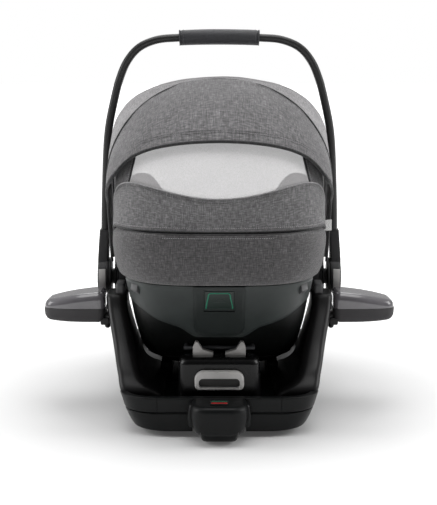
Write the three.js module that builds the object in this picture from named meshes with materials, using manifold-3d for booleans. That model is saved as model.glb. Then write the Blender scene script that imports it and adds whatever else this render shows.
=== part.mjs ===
// Infant car seat: a carrier with a turning handle and a folding canopy, docked on a vehicle base with
// side wings, two ISOFIX arms and a folding support leg. Millimetres, +Z up. The child's head is at -Y
// and the vehicle's seat back at +Y. The origin is on the floor under the middle of the whole seat.
import * as THREE from "three";
import { mergeVertices } from "three/addons/utils/BufferGeometryUtils.js";
import Module from "manifold-3d";

const wasm = await Module();
wasm.setup();

// ---- Driving dimensions ----
const GAP = 0.4; // left between pieces that touch
const HUB_Z = 216; // the handle and the canopy turn about the X axis at this height, at Y 0
const HANDLE_X = 207; // middle of the handle tube beside the hub
const HANDLE_TOP_Z = 647; // middle of the handle tube in the grip
const CANOPY_R = 346; // outside of the innermost canopy layer, from the hub axis
const CANOPY_W = 180; // outside of the same layer at its flanks
const BASE_FRONT = -300;
const BASE_REAR = 285;
const SEAM_Z = 40; // joint between the base's lower and upper shells
const RIM_Z = 66; // top of the base's rim
const TRAY_Z = 50; // floor of the base's tray
const SEAT_END = 365; // reach of the nose and of the ISOFIX arms from the middle
const ISOFIX_X = 140; // half of the 280 mm between a vehicle's anchor bars
const LEG_AXIS = { y: -330, z: 28 };
const WING_AXIS = { x: 195, z: 150 };
const WING_TIP_X = 307;

// ---- Materials ----
const paint = (color, roughness, metalness = 0) =>
  new THREE.MeshStandardMaterial({ color, roughness, metalness });
const FABRIC = paint(0x6e6c6e, 0.95);
const BAND_FABRIC = paint(0x5a5859, 0.95);
const LIGHT_FABRIC = paint(0x969596, 0.95);
const MESH = paint(0xcdcbcc, 0.9);
const LINING = paint(0x6a696c, 0.95);
const WEBBING = paint(0x232325, 0.8);
const FOAM = paint(0xe8e6e0, 0.9);
const SHELL = paint(0x3c3e3e, 0.6);
const PLASTIC = paint(0x232324, 0.5);
const BASE_BLACK = paint(0x1e2021, 0.55);
const GLOSS = paint(0x3a383b, 0.25);
const SOFT_GREY = paint(0x3c3a3c, 0.7);
const GREY = paint(0x9a9997, 0.45);
const RUBBER = paint(0x151515, 0.9);
const STEEL = paint(0xb4b6b8, 0.3, 0.9);
const GRIP = paint(0x26262a, 0.7);
const RED = paint(0xb3262a, 0.5);
const WHITE = paint(0xe9e9e9, 0.8);

// ---- Shape helpers ----
const { degToRad: rad, lerp, smoothstep, clamp } = THREE.MathUtils;
const point = (x, y, z) => new THREE.Vector3(x, y, z);
const steps = (from, to, count) => Array.from({ length: count + 1 }, (_, i) => lerp(from, to, i / count));
const circle = (count) => steps(0, 2 * Math.PI, count).slice(0, -1);

// Positions only, with shared corners.
function weld(geometry) {
  const bare = new THREE.BufferGeometry().setAttribute("position", geometry.getAttribute("position"));
  return mergeVertices(bare.setIndex(geometry.index), 1e-4);
}

// Turns every face round if the body is inside out.
function facingOut(geometry) {
  const at = geometry.getAttribute("position");
  const index = geometry.index.array;
  const corner = (i) => new THREE.Vector3().fromBufferAttribute(at, index[i]);
  let volume = 0;
  for (let i = 0; i < index.length; i += 3)
    volume += corner(i).dot(corner(i + 1).cross(corner(i + 2)));
  if (volume < 0)
    for (let i = 0; i < index.length; i += 3)
      [index[i + 1], index[i + 2]] = [index[i + 2], index[i + 1]];
  return geometry;
}

// A closed body through rings of points, all of one even length. Each end is closed by joining the
// points that face each other across the ring, which suits a convex ring and the ring round a sheet.
// From the ring numbered turn on, the faces are split along their other diagonal: a wall that comes back
// down beside itself is then split in the same way on both of its sides.
function loft(rings, turn = Infinity) {
  const n = rings[0].length;
  const last = (rings.length - 1) * n;
  const index = [];
  const quad = (a, b, c, d) => index.push(a, b, c, a, c, d);
  for (let k = 0; k < last; k += n)
    for (let i = 0; i < n; i++) {
      const j = (i + 1) % n;
      if (k < turn * n) quad(k + i, k + j, k + n + j, k + n + i);
      else quad(k + j, k + n + j, k + n + i, k + i);
    }
  for (let i = 0; i + 1 < n / 2; i++) {
    quad(i, n - 1 - i, n - 2 - i, i + 1);
    quad(last + i, last + i + 1, last + n - 2 - i, last + n - 1 - i);
  }
  return facingOut(new THREE.BufferGeometry().setFromPoints(rings.flat()).setIndex(index));
}

// The ring round a sheet: along its outer line and back along its inner one.
const sheetRing = (outer, inner) => [...outer, ...inner.toReversed()];

// Extrusions along an axis of an outline given as a Shape or as pairs of numbers.
const outline = (points) =>
  points instanceof THREE.Shape ? points : new THREE.Shape(points.map(([a, b]) => new THREE.Vector2(a, b)));
const extrude = (points, depth) =>
  new THREE.ExtrudeGeometry(outline(points), { depth, bevelEnabled: false, curveSegments: 5 });
const [X, Y, Z] = [point(1, 0, 0), point(0, 1, 0), point(0, 0, 1)];
const extrudeX = (yz, x0, x1) =>
  extrude(yz, x1 - x0).applyMatrix4(new THREE.Matrix4().makeBasis(Y, Z, X)).translate(x0, 0, 0);
const extrudeY = (xz, y0, y1) =>
  extrude(xz, y1 - y0).applyMatrix4(new THREE.Matrix4().makeBasis(X, Z, point(0, -1, 0))).translate(0, y1, 0);
const extrudeZ = (xy, z0, z1) => extrude(xy, z1 - z0).translate(0, 0, z0);

// A rectangle with rounded corners, as a Shape.
function roundedRect(x0, y0, x1, y1, r) {
  const shape = new THREE.Shape();
  shape.absarc(x1 - r, y0 + r, r, -Math.PI / 2, 0);
  shape.absarc(x1 - r, y1 - r, r, 0, Math.PI / 2);
  shape.absarc(x0 + r, y1 - r, r, Math.PI / 2, Math.PI);
  shape.absarc(x0 + r, y0 + r, r, Math.PI, Math.PI * 1.5);
  return shape;
}

// The corners of a rounded rectangle, as [a, b] pairs, with four points to each corner.
function roundedCorners(a0, a1, b0, b1, r) {
  const centres = [[a1 - r, b0 + r, -90], [a1 - r, b1 - r, 0], [a0 + r, b1 - r, 90], [a0 + r, b0 + r, 180]];
  return centres.flatMap(([a, b, start]) =>
    steps(start, start + 90, 3).map((t) => [a + r * Math.cos(rad(t)), b + r * Math.sin(rad(t))]),
  );
}
// Bodies lofted through rounded rectangles that lie level, or that stand across X.
const levelRing = (z, x0, x1, y0, y1, r) => roundedCorners(x0, x1, y0, y1, r).map(([x, y]) => point(x, y, z));
const standingRing = (x, y0, y1, z0, z1, r) =>
  roundedCorners(y0, y1, z0, z1, r).map(([y, z]) => point(x, y, z));

const box = (x0, x1, y0, y1, z0, z1) =>
  new THREE.BoxGeometry(x1 - x0, y1 - y0, z1 - z0).translate((x0 + x1) / 2, (y0 + y1) / 2, (z0 + z1) / 2);
const rodX = (r, x0, x1, y, z, sides = 24) =>
  new THREE.CylinderGeometry(r, r, x1 - x0, sides).rotateZ(Math.PI / 2).translate((x0 + x1) / 2, y, z);
const rodY = (r, y0, y1, x, z, sides = 16) =>
  new THREE.CylinderGeometry(r, r, y1 - y0, sides).translate(x, (y0 + y1) / 2, z);

// Booleans.
function toSolid(geometry) {
  const welded = weld(geometry);
  return new wasm.Manifold(
    new wasm.Mesh({
      numProp: 3,
      vertProperties: welded.getAttribute("position").array,
      triVerts: new Uint32Array(welded.index.array),
    }),
  );
}
function toGeometry(solid) {
  const { vertProperties, triVerts } = solid.getMesh();
  return new THREE.BufferGeometry()
    .setAttribute("position", new THREE.BufferAttribute(vertProperties, 3))
    .setIndex(new THREE.BufferAttribute(triVerts, 1));
}
const combine = (how) => (first, ...others) =>
  toGeometry(others.reduce((made, other) => made[how](toSolid(other)), toSolid(first)));
const cut = combine("subtract");
const join = combine("add");
const common = combine("intersect");

// ---- Assembly ----
const seat = new THREE.Group();
const mirrorX = new THREE.Matrix4().makeScale(-1, 1, 1);

function add(name, geometry, material) {
  const mesh = new THREE.Mesh(weld(geometry), material);
  mesh.name = name;
  seat.add(mesh);
}
// A piece modelled on the right, and its mirror image on the left.
function addPair(name, geometry, material) {
  add(name + "_right", geometry, material);
  add(name + "_left", facingOut(weld(geometry).applyMatrix4(mirrorX)), material);
}

// ---- The carrier's bucket, which the shell, foam, cover, insert and wrap all follow ----
// Levels from the flat bottom to the rim: half-width and height at the side, then reach and height at
// the head end, then reach and height at the foot end.
const BOWL_LEVELS = [
  [98, 80, 110, 80, 140, 80],
  [128, 90, 172, 106, 195, 98],
  [143, 138, 232, 153, 248, 132],
  [152, 186, 281, 210, 285, 175],
  [163, 230, 312, 268, 310, 222],
  [172, 254, 325, 333, 320, 258],
];
const TOP = BOWL_LEVELS.length - 1;
const HEAD_SQUARENESS = 3.5; // exponent of the plan outline, a superellipse, towards the head
const FOOT_SQUARENESS = 2.6;
const SHOULDER_FLARE = 0.07; // how much wider the bucket gets towards the head
const BOWL_STEPS = [0, 0.5, 1.2, 2, 3, 4, TOP];

// The six sizes at any level, by a Catmull-Rom curve through the levels.
function bowlSizes(level) {
  const i = clamp(Math.floor(level), 0, TOP - 1);
  const t = level - i;
  const at = (k) => BOWL_LEVELS[clamp(k, 0, TOP)];
  return BOWL_LEVELS[0].map((_, c) => {
    const [p0, p1, p2, p3] = [at(i - 1)[c], at(i)[c], at(i + 1)[c], at(i + 2)[c]];
    const [v1, v2] = [(p2 - p0) / 2, (p3 - p1) / 2];
    return p1 + v1 * t + (3 * (p2 - p1) - 2 * v1 - v2) * t ** 2 + (2 * (p1 - p2) + v1 + v2) * t ** 3;
  });
}

// A point of the bucket. The angle is 0 at +X and -90 degrees at the head end. Inset moves the surface
// inwards: sideways near the rim and upwards near the bottom.
function bowlPoint(level, angle, inset = 0, lift = 0) {
  const [sideX, sideZ, headY, headZ, footY, footZ] = bowlSizes(level);
  const [c, s] = [Math.cos(angle), Math.sin(angle)];
  const head = s < 0;
  const power = 2 / (head ? HEAD_SQUARENESS : FOOT_SQUARENESS);
  const [across, along] = [Math.sign(c) * Math.abs(c) ** power, Math.sign(s) * Math.abs(s) ** power];
  const inwards = inset * Math.min(1, 0.35 + level / 2);
  const flare = head ? 1 - SHOULDER_FLARE * along : 1;
  const rise = smoothstep(Math.abs(along), 0, 0.75) * ((head ? headZ : footZ) - sideZ);
  const z = sideZ + rise + inset * (1 - level / TOP) + lift;
  return point((sideX * flare - inwards) * across, ((head ? headY : footY) - inwards) * along, z);
}

// Angles that step evenly round the rim.
function evenAngles(from, to, count) {
  const dense = steps(from, to, 800);
  const run = [0];
  for (let i = 1; i < dense.length; i++)
    run.push(run[i - 1] + bowlPoint(TOP, dense[i]).distanceTo(bowlPoint(TOP, dense[i - 1])));
  return steps(0, run.at(-1), count).map((goal) => {
    const i = clamp(run.findIndex((r) => r >= goal - 1e-9), 1, run.length - 1);
    return lerp(dense[i - 1], dense[i], (goal - run[i - 1]) / (run[i] - run[i - 1]));
  });
}
const BOWL_ANGLES = [...evenAngles(-Math.PI, 0, 18).slice(0, -1), ...evenAngles(0, Math.PI, 18).slice(0, -1)];
const bowlRing = (level, inset, lift = 0) => BOWL_ANGLES.map((angle) => bowlPoint(level, angle, inset, lift));

// A bucket with walls between two insets, up to a level, and then straight up by lift.
function bucket(outer, inner, top = TOP, lift = 0) {
  const rings = (inset) => [
    ...BOWL_STEPS.filter((level) => level <= top).map((level) => bowlRing(level, inset)),
    ...(lift ? [bowlRing(top, inset, lift)] : []),
  ];
  const up = rings(outer);
  return loft([...up, ...rings(inner).toReversed()], up.length);
}
// Everything inside the bucket at an inset, carried on upwards past the rim.
const interior = (inset) =>
  loft([...BOWL_STEPS.map((level) => bowlRing(level, inset)), bowlRing(TOP, inset, 200)]);

const SHELL_WALL = 4;
const COVER_INSET = 16;
const INSERT_INSET = 30;
const LIE_INSET = 48; // the surface that the child lies on
const INSERT_TOP = 4; // level

function addBucket() {
  add("carrier_shell", bucket(0, SHELL_WALL), SHELL);
  add("foam_liner", bucket(SHELL_WALL + GAP, COVER_INSET), FOAM);
  add("seat_cover", bucket(COVER_INSET + GAP, INSERT_INSET, TOP, 4), LINING);
  add("infant_insert", bucket(INSERT_INSET + GAP, LIE_INSET, INSERT_TOP), LIGHT_FABRIC);
}

// The padded fabric that wraps over the rim and hangs down its outside, all round the head end.
const SKIRT = { thick: 9, lift: 6, from: rad(-177), to: rad(-3) };
function addSkirt() {
  const shares = [0, 0.12, 0.4, 0.7, 0.92, 1];
  const rings = evenAngles(SKIRT.from, SKIRT.to, 30).map((angle) => {
    const along = Math.abs(bowlPoint(TOP, angle).y) / BOWL_LEVELS[TOP][2];
    const lowest = lerp(4.75, 3.78, smoothstep(along, 0.12, 0.6));
    const thick = SKIRT.thick * smoothstep(along, 0.02, 0.3) * 0.4 + SKIRT.thick * 0.6;
    const at = (share, out) => bowlPoint(lerp(lowest, TOP, share), angle, -out, SKIRT.lift * share);
    const bulge = (share) => 2.5 + (thick - 2) * Math.sin(Math.PI * clamp(share, 0, 1)) ** 0.35;
    return sheetRing(
      shares.map((share) => at(share, bulge(share))),
      shares.map((share) => at(share, 0)),
    );
  });
  add("seat_skirt", cut(loft(rings), interior(-GAP)), BAND_FABRIC);
}

// Cushion round the child's head, with an ear standing up on each side.
function addHeadSupport() {
  const rings = evenAngles(rad(-175.5), rad(-4.5), 32).map((angle) => {
    const rim = bowlPoint(TOP, angle);
    const along = Math.abs(rim.y) / BOWL_LEVELS[TOP][2];
    const height = 12 + 104 * Math.exp(-(((along - 0.4) / 0.19) ** 2));
    const at = ([inset, lift]) => bowlPoint(TOP, angle, inset, lift);
    const low = (inset) => bowlPoint(INSERT_TOP, angle, inset, 1.2);
    return [
      low(INSERT_INSET),
      at([INSERT_INSET, 0]),
      ...[0.35, 0.8, 1].map((share) => at([INSERT_INSET + 2 + 8 * share ** 2, height * share])),
      ...[0.96, 0.75, 0.3].map((share) => at([LIE_INSET + 6 * share, height * share])),
      at([LIE_INSET + 2, 0]),
      low(LIE_INSET - 2),
    ];
  });
  add("head_support", common(loft(rings), interior(INSERT_INSET + GAP)), LIGHT_FABRIC);
}

// ---- Harness ----
// A flat strap on a path, its width along X. The path runs towards +Y, so that up is on its left.
function strap(path, width, thickness) {
  return loft(
    path.map((at, i) => {
      const along = path[Math.min(i + 1, path.length - 1)].clone().sub(path[Math.max(i - 1, 0)]);
      const up = point(0, -along.z, along.y).normalize().multiplyScalar(thickness);
      const across = point(width / 2, 0, 0);
      const [a, b] = [at.clone().sub(across), at.clone().add(across)];
      return [a, b, b.clone().add(up), a.clone().add(up)];
    }),
  );
}
// The lying surface on the middle line, from a level at the head end down to the floor.
function lieHead(level, above, x) {
  const i = clamp(BOWL_STEPS.findIndex((l) => l >= level), 1, BOWL_STEPS.length - 1);
  const [low, high] = [BOWL_STEPS[i - 1], BOWL_STEPS[i]];
  const [p, q] = [low, high].map((l) => bowlPoint(l, -Math.PI / 2, LIE_INSET + above));
  return p.lerp(q, (level - low) / (high - low)).setX(x);
}
const LIE_FLOOR_Z = BOWL_LEVELS[0][1] + LIE_INSET;
const BUCKLE = { y0: 22, y1: 70, halfWidth: 21, z0: LIE_FLOOR_Z + 1, z1: LIE_FLOOR_Z + 19 };

function addHarness() {
  const shoulder = [
    ...[3.35, 2.9, 2.4, 1.9, 1.4, 1, 0.6, 0.2].map((level) => lieHead(level, 2, 20 + 7 * level)),
    point(17, -50, LIE_FLOOR_Z + 1.5),
    point(14, -10, LIE_FLOOR_Z + 4),
    point(12.5, BUCKLE.y0 - GAP, LIE_FLOOR_Z + 8),
  ];
  const lieSpace = interior(LIE_INSET + GAP);
  addPair("shoulder_strap", common(strap(shoulder, 24, 2), lieSpace), WEBBING);
  const pad = [3.3, 3, 2.6, 2.2, 1.8, 1.5].map((level) => lieHead(level, 5.2, 21 + 6.7 * level));
  addPair("shoulder_pad", common(strap(pad, 34, 7), lieSpace), LINING);

  const buckle = join(
    extrudeZ(roundedRect(-BUCKLE.halfWidth, BUCKLE.y0, BUCKLE.halfWidth, BUCKLE.y1, 8), BUCKLE.z0, BUCKLE.z1 - 4),
    extrudeZ(roundedRect(-17, BUCKLE.y0 + 3, 17, BUCKLE.y1 - 3, 6), BUCKLE.z1 - 6, BUCKLE.z1),
  );
  const well = [-9.5, 9.5, 34.5, 57.5];
  const pocket = box(well[0], well[1], well[2], well[3], BUCKLE.z1 - 8, BUCKLE.z1 + 1);
  add("buckle_body", cut(buckle, pocket), PLASTIC);
  const press = box(-9, 9, 35, 57, BUCKLE.z1 - 4, BUCKLE.z1 + 1.5);
  add("buckle_button", press, RED);
  const crotch = [
    point(0, BUCKLE.y1 + GAP, LIE_FLOOR_Z + 6),
    point(0, 84, LIE_FLOOR_Z + 3),
    point(0, 104, LIE_FLOOR_Z + 1),
  ];
  add("crotch_strap", strap(crotch, 30, 2), WEBBING);

  // The adjuster on the foot end of the insert.
  const seatOn = bowlPoint(1.6, Math.PI / 2, LIE_INSET);
  const tilt = rad(38);
  const place = (geometry) => geometry.rotateX(tilt).translate(0, seatOn.y, seatOn.z + 5);
  const plate = extrudeZ(roundedRect(-20, -15, 20, 15, 6), 0, 7);
  add("adjuster_housing", place(cut(plate, box(-9.5, 9.5, -7.5, 7.5, 2, 8))), PLASTIC);
  add("adjuster_button", place(box(-9, 9, -7, 7, 5, 9)), GREY);
}

// ---- Head end of the carrier: release lever and the bail that the dock's hooks stand against ----
// A plate on the outside of the head end, between two distances from the shell.
function headPlate(halfWidth, low, high, near, far, across = 6) {
  const levels = steps(low, high, 4);
  const rings = steps(-halfWidth, halfWidth, across).map((x) => {
    const angle = -Math.acos(Math.min(1, (Math.abs(x) / 172) ** (HEAD_SQUARENESS / 2)));
    const line = (out) => levels.map((level) => bowlPoint(level, angle, -out).setX(x));
    return sheetRing(line(far), line(near));
  });
  return loft(rings);
}
function addRelease() {
  const pocket = headPlate(24.5, 3, 3.66, 2, 12);
  add("lever_housing", cut(headPlate(34, 2.75, 3.72, GAP, 6, 8), pocket), SHELL);
  add("release_lever", headPlate(23.5, 3.05, 3.62, 2.6, 6.8), PLASTIC);

  const bar = { r: 4, halfWidth: 60, y: -216, z: 131 };
  const posts = [-55, 55].map((x) =>
    new THREE.CylinderGeometry(bar.r, bar.r, 26, 12)
      .rotateX(rad(38))
      .translate(x, bar.y + 13 * Math.cos(rad(38)), bar.z + 13 * Math.sin(rad(38))),
  );
  const bail = join(rodX(bar.r, -bar.halfWidth, bar.halfWidth, bar.y, bar.z, 12), ...posts);
  add("latch_bar", cut(bail, interior(-GAP)), STEEL);
}

// Grey hooks on the shell's corners, for the lap part of a vehicle belt.
function addBeltGuides() {
  const rings = steps(rad(-50), rad(-42), 3).map((angle) =>
    sheetRing(
      [3.35, 3.5, 3.66].map((level, i) => bowlPoint(level, angle, -[3, 8, 4][i])),
      [3.35, 3.5, 3.66].map((level) => bowlPoint(level, angle, -GAP - 0.1)),
    ),
  );
  addPair("belt_guide", loft(rings), GREY);
}

// ---- Hubs and handle ----
const BOSS = { r: 30, x1: 180.5 };
const JOURNAL = { r: 14, x1: 195.5 }; // the canopy's bows turn on this
const FLANGE = { r: 34, x1: 200 };
const AXLE = { r: 6, x1: 215 };
const HOUSING = { r: 36, x0: 201, x1: 220, neckTop: 302, neckDepth: 16 };

function addHubs() {
  const hub = join(
    rodX(BOSS.r, 140, BOSS.x1, 0, HUB_Z, 28),
    rodX(JOURNAL.r, BOSS.x1 - 1, JOURNAL.x1 + 1, 0, HUB_Z),
    rodX(FLANGE.r, JOURNAL.x1, FLANGE.x1, 0, HUB_Z, 28),
    rodX(AXLE.r, FLANGE.x1 - 1, AXLE.x1, 0, HUB_Z, 16),
  );
  addPair("hub_base", cut(hub, interior(-GAP)), PLASTIC);

  const turned = [[HOUSING.x0, HOUSING.r], [215, HOUSING.r], [218.5, HOUSING.r - 2.5], [HOUSING.x1, 28]].map(
    ([x, r]) => circle(32).map((a) => point(x, r * Math.cos(a), HUB_Z + r * Math.sin(a))),
  );
  const neck = loft([
    levelRing(HUB_Z + 6, HOUSING.x0, 219.5, -24, 24, 3),
    levelRing(HUB_Z + 34, HOUSING.x0, 219.5, -20, 20, 3),
    levelRing(HUB_Z + 58, HOUSING.x0 - 0.6, 218, -17, 17, 3),
    levelRing(HOUSING.neckTop, HOUSING.x0 - 2, 216, -HOUSING.neckDepth, HOUSING.neckDepth, 3),
  ]);
  const bore = rodX(AXLE.r + GAP, 198, AXLE.x1 + 1, 0, HUB_Z, 16);
  const pocket = box(204.5, 217.5, -42, -26.2, 192.5, 234.5);
  addPair("hub_housing", cut(join(loft(turned), neck), bore, pocket), PLASTIC);

  const pad = common(
    extrudeX(roundedRect(-38.5, 193, -29.5, 234, 2), 205, 217),
    rodX(38.5, 200, 220, 0, HUB_Z, 40),
  );
  addPair("hub_button", pad, GREY);
}

// Centreline of the handle tube from the right hub to the middle of the grip, as [x, z].
const HANDLE_HALF = [
  [HANDLE_X, HOUSING.neckTop + 0.7],
  [205, 375],
  [199, 479],
  [188, 535],
  [178, 572],
  [164, 604],
  [143, 628],
  [112, 641.5],
  [71, 645.5],
];
const handleLine = new THREE.CatmullRomCurve3(
  [...HANDLE_HALF, [0, HANDLE_TOP_Z], ...HANDLE_HALF.toReversed().map(([x, z]) => [-x, z])].map(([x, z]) =>
    point(x, 0, z),
  ),
);
// An oval bar on a stretch of the handle's line: half-thickness across it and half-depth along Y.
function handleBar(from, to, count, halfThickness, halfDepth, sides) {
  const rings = steps(from, to, count).map((share) => {
    const at = handleLine.getPointAt(share);
    const along = handleLine.getTangentAt(share);
    const out = point(along.z, 0, -along.x);
    return circle(sides).map((a) => {
      const [c, s] = [Math.cos(a), Math.sin(a)];
      const across = Math.sign(c) * Math.abs(c) ** 0.75 * halfThickness;
      const deep = Math.sign(s) * Math.abs(s) ** 0.75 * halfDepth;
      return at.clone().addScaledVector(out, across).add(point(0, deep, 0));
    });
  });
  return loft(rings);
}
function addHandle() {
  add("handle_tube", handleBar(0, 1, 40, 7, 13, 12), PLASTIC);
  const half = 71 / handleLine.getLength(); // half of the grip, as a share of the line
  const sleeve = handleBar(0.5 - half, 0.5 + half, 8, 13.5, 18, 16);
  const core = handleBar(0.5 - half - 0.03, 0.5 + half + 0.03, 10, 7.4, 13.4, 12);
  add("handle_grip", cut(sleeve, core), GRIP);
}

// ---- Canopy: fabric and bows in layers round the hub axis ----
// Along a canopy's arch, X = W sqrt(1 - t^9) and radius = R t, which gives flat flanks and a broad top.
const ARCH_POWER = 9;
const LAYER = { rear: 0, front: 4.75, mid: 9.4, hood: 14.5 }; // outside of each beyond the innermost
const FABRIC_WALL = 3;
const BOW_WALL = 2.5;
const acrossArch = ([, t]) => Math.sqrt(Math.max(0, 1 - t ** ARCH_POWER)); // 1 at a flank, 0 at the top

// Points of the whole arch as [side, t], from the right flank over the top to the left one.
function arch(lowestRadius, count) {
  const dense = steps(0, 1, 500).map((q) => lerp(lowestRadius / CANOPY_R, 1, Math.sin((q * Math.PI) / 2)));
  const flat = dense.map((t) => new THREE.Vector2(CANOPY_W * acrossArch([1, t]), CANOPY_R * t));
  const run = [0];
  for (let i = 1; i < flat.length; i++) run.push(run[i - 1] + flat[i].distanceTo(flat[i - 1]));
  const right = steps(0, run.at(-1), count).map((goal) => dense[run.findIndex((r) => r >= goal - 1e-9)]);
  return [...right.map((t) => [1, t]), ...right.slice(0, -1).toReversed().map((t) => [-1, t])];
}
// A point of the arch on a layer, at an angle from +Y over the top, which is 90 degrees.
function archPoint([side, t], layer, degrees) {
  const x = side * (CANOPY_W + layer) * acrossArch([side, t]);
  const r = t * (CANOPY_R + layer);
  return point(x, r * Math.cos(rad(degrees)), HUB_Z + r * Math.sin(rad(degrees)));
}
const FABRIC_ARCH = arch(38, 14);

// Cloth between two edges, each an angle or a function of the arch point.
function cloth(outer, inner, from, to, count) {
  const edge = (e, p) => (typeof e === "function" ? e(p) : e);
  const rings = steps(0, 1, count).map((share) => {
    const line = (layer) =>
      FABRIC_ARCH.map((p) => archPoint(p, layer, lerp(edge(from, p), edge(to, p), share)));
    return sheetRing(line(outer), line(inner));
  });
  return loft(rings);
}

const BOW_ANGLE = { mid: 99.5, front: 60 };
const HOOD_REAR = 133;
const hoodSeam = (p) => 97 + 28 * acrossArch(p) ** 2;
const bandTop = (p) => 150 - 13 * smoothstep(acrossArch(p), 0.1, 1);

// Everything below a line that follows the skirt's top, seen from the side.
function underRim(clearance) {
  const line = steps(-Math.PI / 2, 0, 16).map((angle) => {
    const rim = bowlPoint(TOP, angle);
    return [rim.y, rim.z + SKIRT.lift + clearance];
  });
  return extrudeX([[-420, line[0][1]], ...line, [120, line.at(-1)[1]], [120, 0], [-420, 0]], -260, 260);
}
// The window's outline seen from the head end, grown or shrunk by a margin.
function windowPrism(margin) {
  const [top, bottom] = [124 + margin, 152 + margin];
  return extrudeY([[-top, 512 + margin], [-bottom, 330], [bottom, 330], [top, 512 + margin]], -500, -40);
}

// A bow: a flat strip over the arch with an eyelet round each journal.
function bow(degrees, layer) {
  const sideways = point(0, -Math.sin(rad(degrees)), Math.cos(rad(degrees))).multiplyScalar(6);
  const strip = arch(18, 12).map((p) => {
    const corner = (depth, way) => archPoint(p, depth, degrees).addScaledVector(sideways, way);
    return [corner(layer, -1), corner(layer, 1), corner(layer - BOW_WALL, 1), corner(layer - BOW_WALL, -1)];
  });
  const [near, far] = [CANOPY_W + layer - BOW_WALL, CANOPY_W + layer];
  return cut(
    join(loft(strip), rodX(26, near, far, 0, HUB_Z), rodX(26, -far, -near, 0, HUB_Z)),
    rodX(JOURNAL.r + 0.5, -230, 230, 0, HUB_Z),
  );
}

function addCanopy() {
  const inside = LAYER.rear - FABRIC_WALL;
  const panel = cloth(LAYER.rear, inside, 102, bandTop, 7);
  const trimmed = cut(panel, underRim(2));
  add("canopy_side", cut(trimmed, windowPrism(0)), LIGHT_FABRIC);
  add("canopy_window", common(trimmed, windowPrism(-0.4)), MESH);
  const band = cloth(LAYER.rear, inside, (p) => bandTop(p) + 0.15, 162, 3);
  add("canopy_band", cut(band, underRim(2)), BAND_FABRIC);
  add("canopy_hood", cloth(LAYER.hood, LAYER.hood - FABRIC_WALL, hoodSeam, HOOD_REAR, 4), FABRIC);
  const visorEdge = (p) => hoodSeam(p) - THREE.MathUtils.radToDeg(GAP / (p[1] * CANOPY_R));
  add("canopy_visor", cloth(LAYER.hood, LAYER.hood - FABRIC_WALL, 58, visorEdge, 6), LIGHT_FABRIC);
  add("canopy_bow_mid", bow(BOW_ANGLE.mid, LAYER.mid), PLASTIC);
  add("canopy_bow_front", bow(BOW_ANGLE.front, LAYER.front), PLASTIC);
  add("care_tag", box(180.6, 181.8, -191, -177, 326, 344), WHITE);
}

// ---- Base ----
// Half-width of the base at a height.
const baseHalfWidth = (z) =>
  z < SEAM_Z ? lerp(140, 158, ((z - 9) / (SEAM_Z - 9)) ** 0.7) : lerp(158, 166, (z - SEAM_Z) / (RIM_Z - SEAM_Z));
const baseRing = (z, inset = 0) => {
  const w = baseHalfWidth(clamp(z, 9, RIM_Z)) - inset;
  return levelRing(z, -w, w, BASE_FRONT + inset, BASE_REAR - inset, 56 - inset);
};
const baseBody = (heights, inset) => loft(heights.map((z) => baseRing(z, inset)));

const SLOT = { halfWidth: 44, y1: 276 }; // the support leg folds and slides in this
const BLOCK = { x: 67, y0: -262, y1: -212, z1: 124 };
const RAIL = { x0: 84, x1: 104, y0: -95, y1: 125 };

function addBaseShells() {
  const outside = baseBody([9, 12, 22, 31, SEAM_Z], 0);
  const inside = baseBody([12, 22, 31, SEAM_Z + 2], 3);
  const channel = box(-SLOT.halfWidth - 3, SLOT.halfWidth + 3, -320, SLOT.y1 + 3, 9, SEAM_Z);
  const slot = box(-SLOT.halfWidth, SLOT.halfWidth, -330, SLOT.y1, 0, SEAM_Z + 5);
  const doors = [-1, 1].map((side) =>
    box(side * ISOFIX_X - 5, side * ISOFIX_X + 5, 225, 300, 21, SEAM_Z + 3),
  );
  const tray = join(cut(outside, inside), common(channel, outside));
  add("base_lower", cut(tray, slot, ...doors), BASE_BLACK);

  const top = baseBody([SEAM_Z + GAP, 56, 63, RIM_Z], 0);
  const under = baseBody([SEAM_Z - 1, TRAY_Z - 3], 4);
  const tub = baseBody([TRAY_Z, RIM_Z + 2], 12);
  const rails = [-1, 1].map((side) => {
    const [x0, x1] = [side * RAIL.x0, side * RAIL.x1].sort((a, b) => a - b);
    const shape = roundedRect(RAIL.y0, TRAY_Z - 1, RAIL.y1, BOWL_LEVELS[0][1] - GAP, 6);
    return extrudeX(shape, x0, x1);
  });
  const rear = loft([
    levelRing(TRAY_Z - 1, -122, 122, 226, BASE_REAR - 2, 12),
    levelRing(84, -118, 118, 228, BASE_REAR - 4, 12),
    levelRing(100, -112, 112, 232, BASE_REAR - 8, 12),
    levelRing(104, -106, 106, 238, BASE_REAR - 14, 10),
  ]);
  add("base_upper", join(cut(top, under, tub), ...rails, rear), BASE_BLACK);

  const strip = extrudeZ(roundedRect(104, -232, 128, 238, 11), 0, 9 - GAP);
  addPair("rubber_strip", strip, RUBBER);
}

// Front of the base: the nose over the leg's hinge.
function addNose() {
  const ring = (z, w, y0, r) => levelRing(z, -w, w, y0, BASE_FRONT + 20, r);
  const outside = loft([
    ring(16, 35, -361, 9),
    ring(30, 38, -363.5, 10),
    ring(52, 43.5, -SEAT_END, 10),
    ring(61, 45, -SEAT_END, 10),
    ring(RIM_Z, 42, -361, 8),
  ]);
  const cheek = (side) => {
    const xs = [38, 53, 53, 47.5, 47.5, 38].map((x) => x * side);
    const ys = [-295, -295, -326, -334, -306, -306];
    return extrudeZ(xs.map((x, i) => [x, ys[i]]), 22, 62);
  };
  const room = box(-31.5, 31.5, -358, -250, 0, 58);
  const behind = box(-60, 60, BASE_FRONT - GAP, -250, 0, 90);
  add("nose_housing", cut(join(outside, cheek(1), cheek(-1)), room, behind), BASE_BLACK);
  add("leg_indicator", box(-15, 15, -346, -318, RIM_Z + 0.3, RIM_Z + 2), RED);
}

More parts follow.
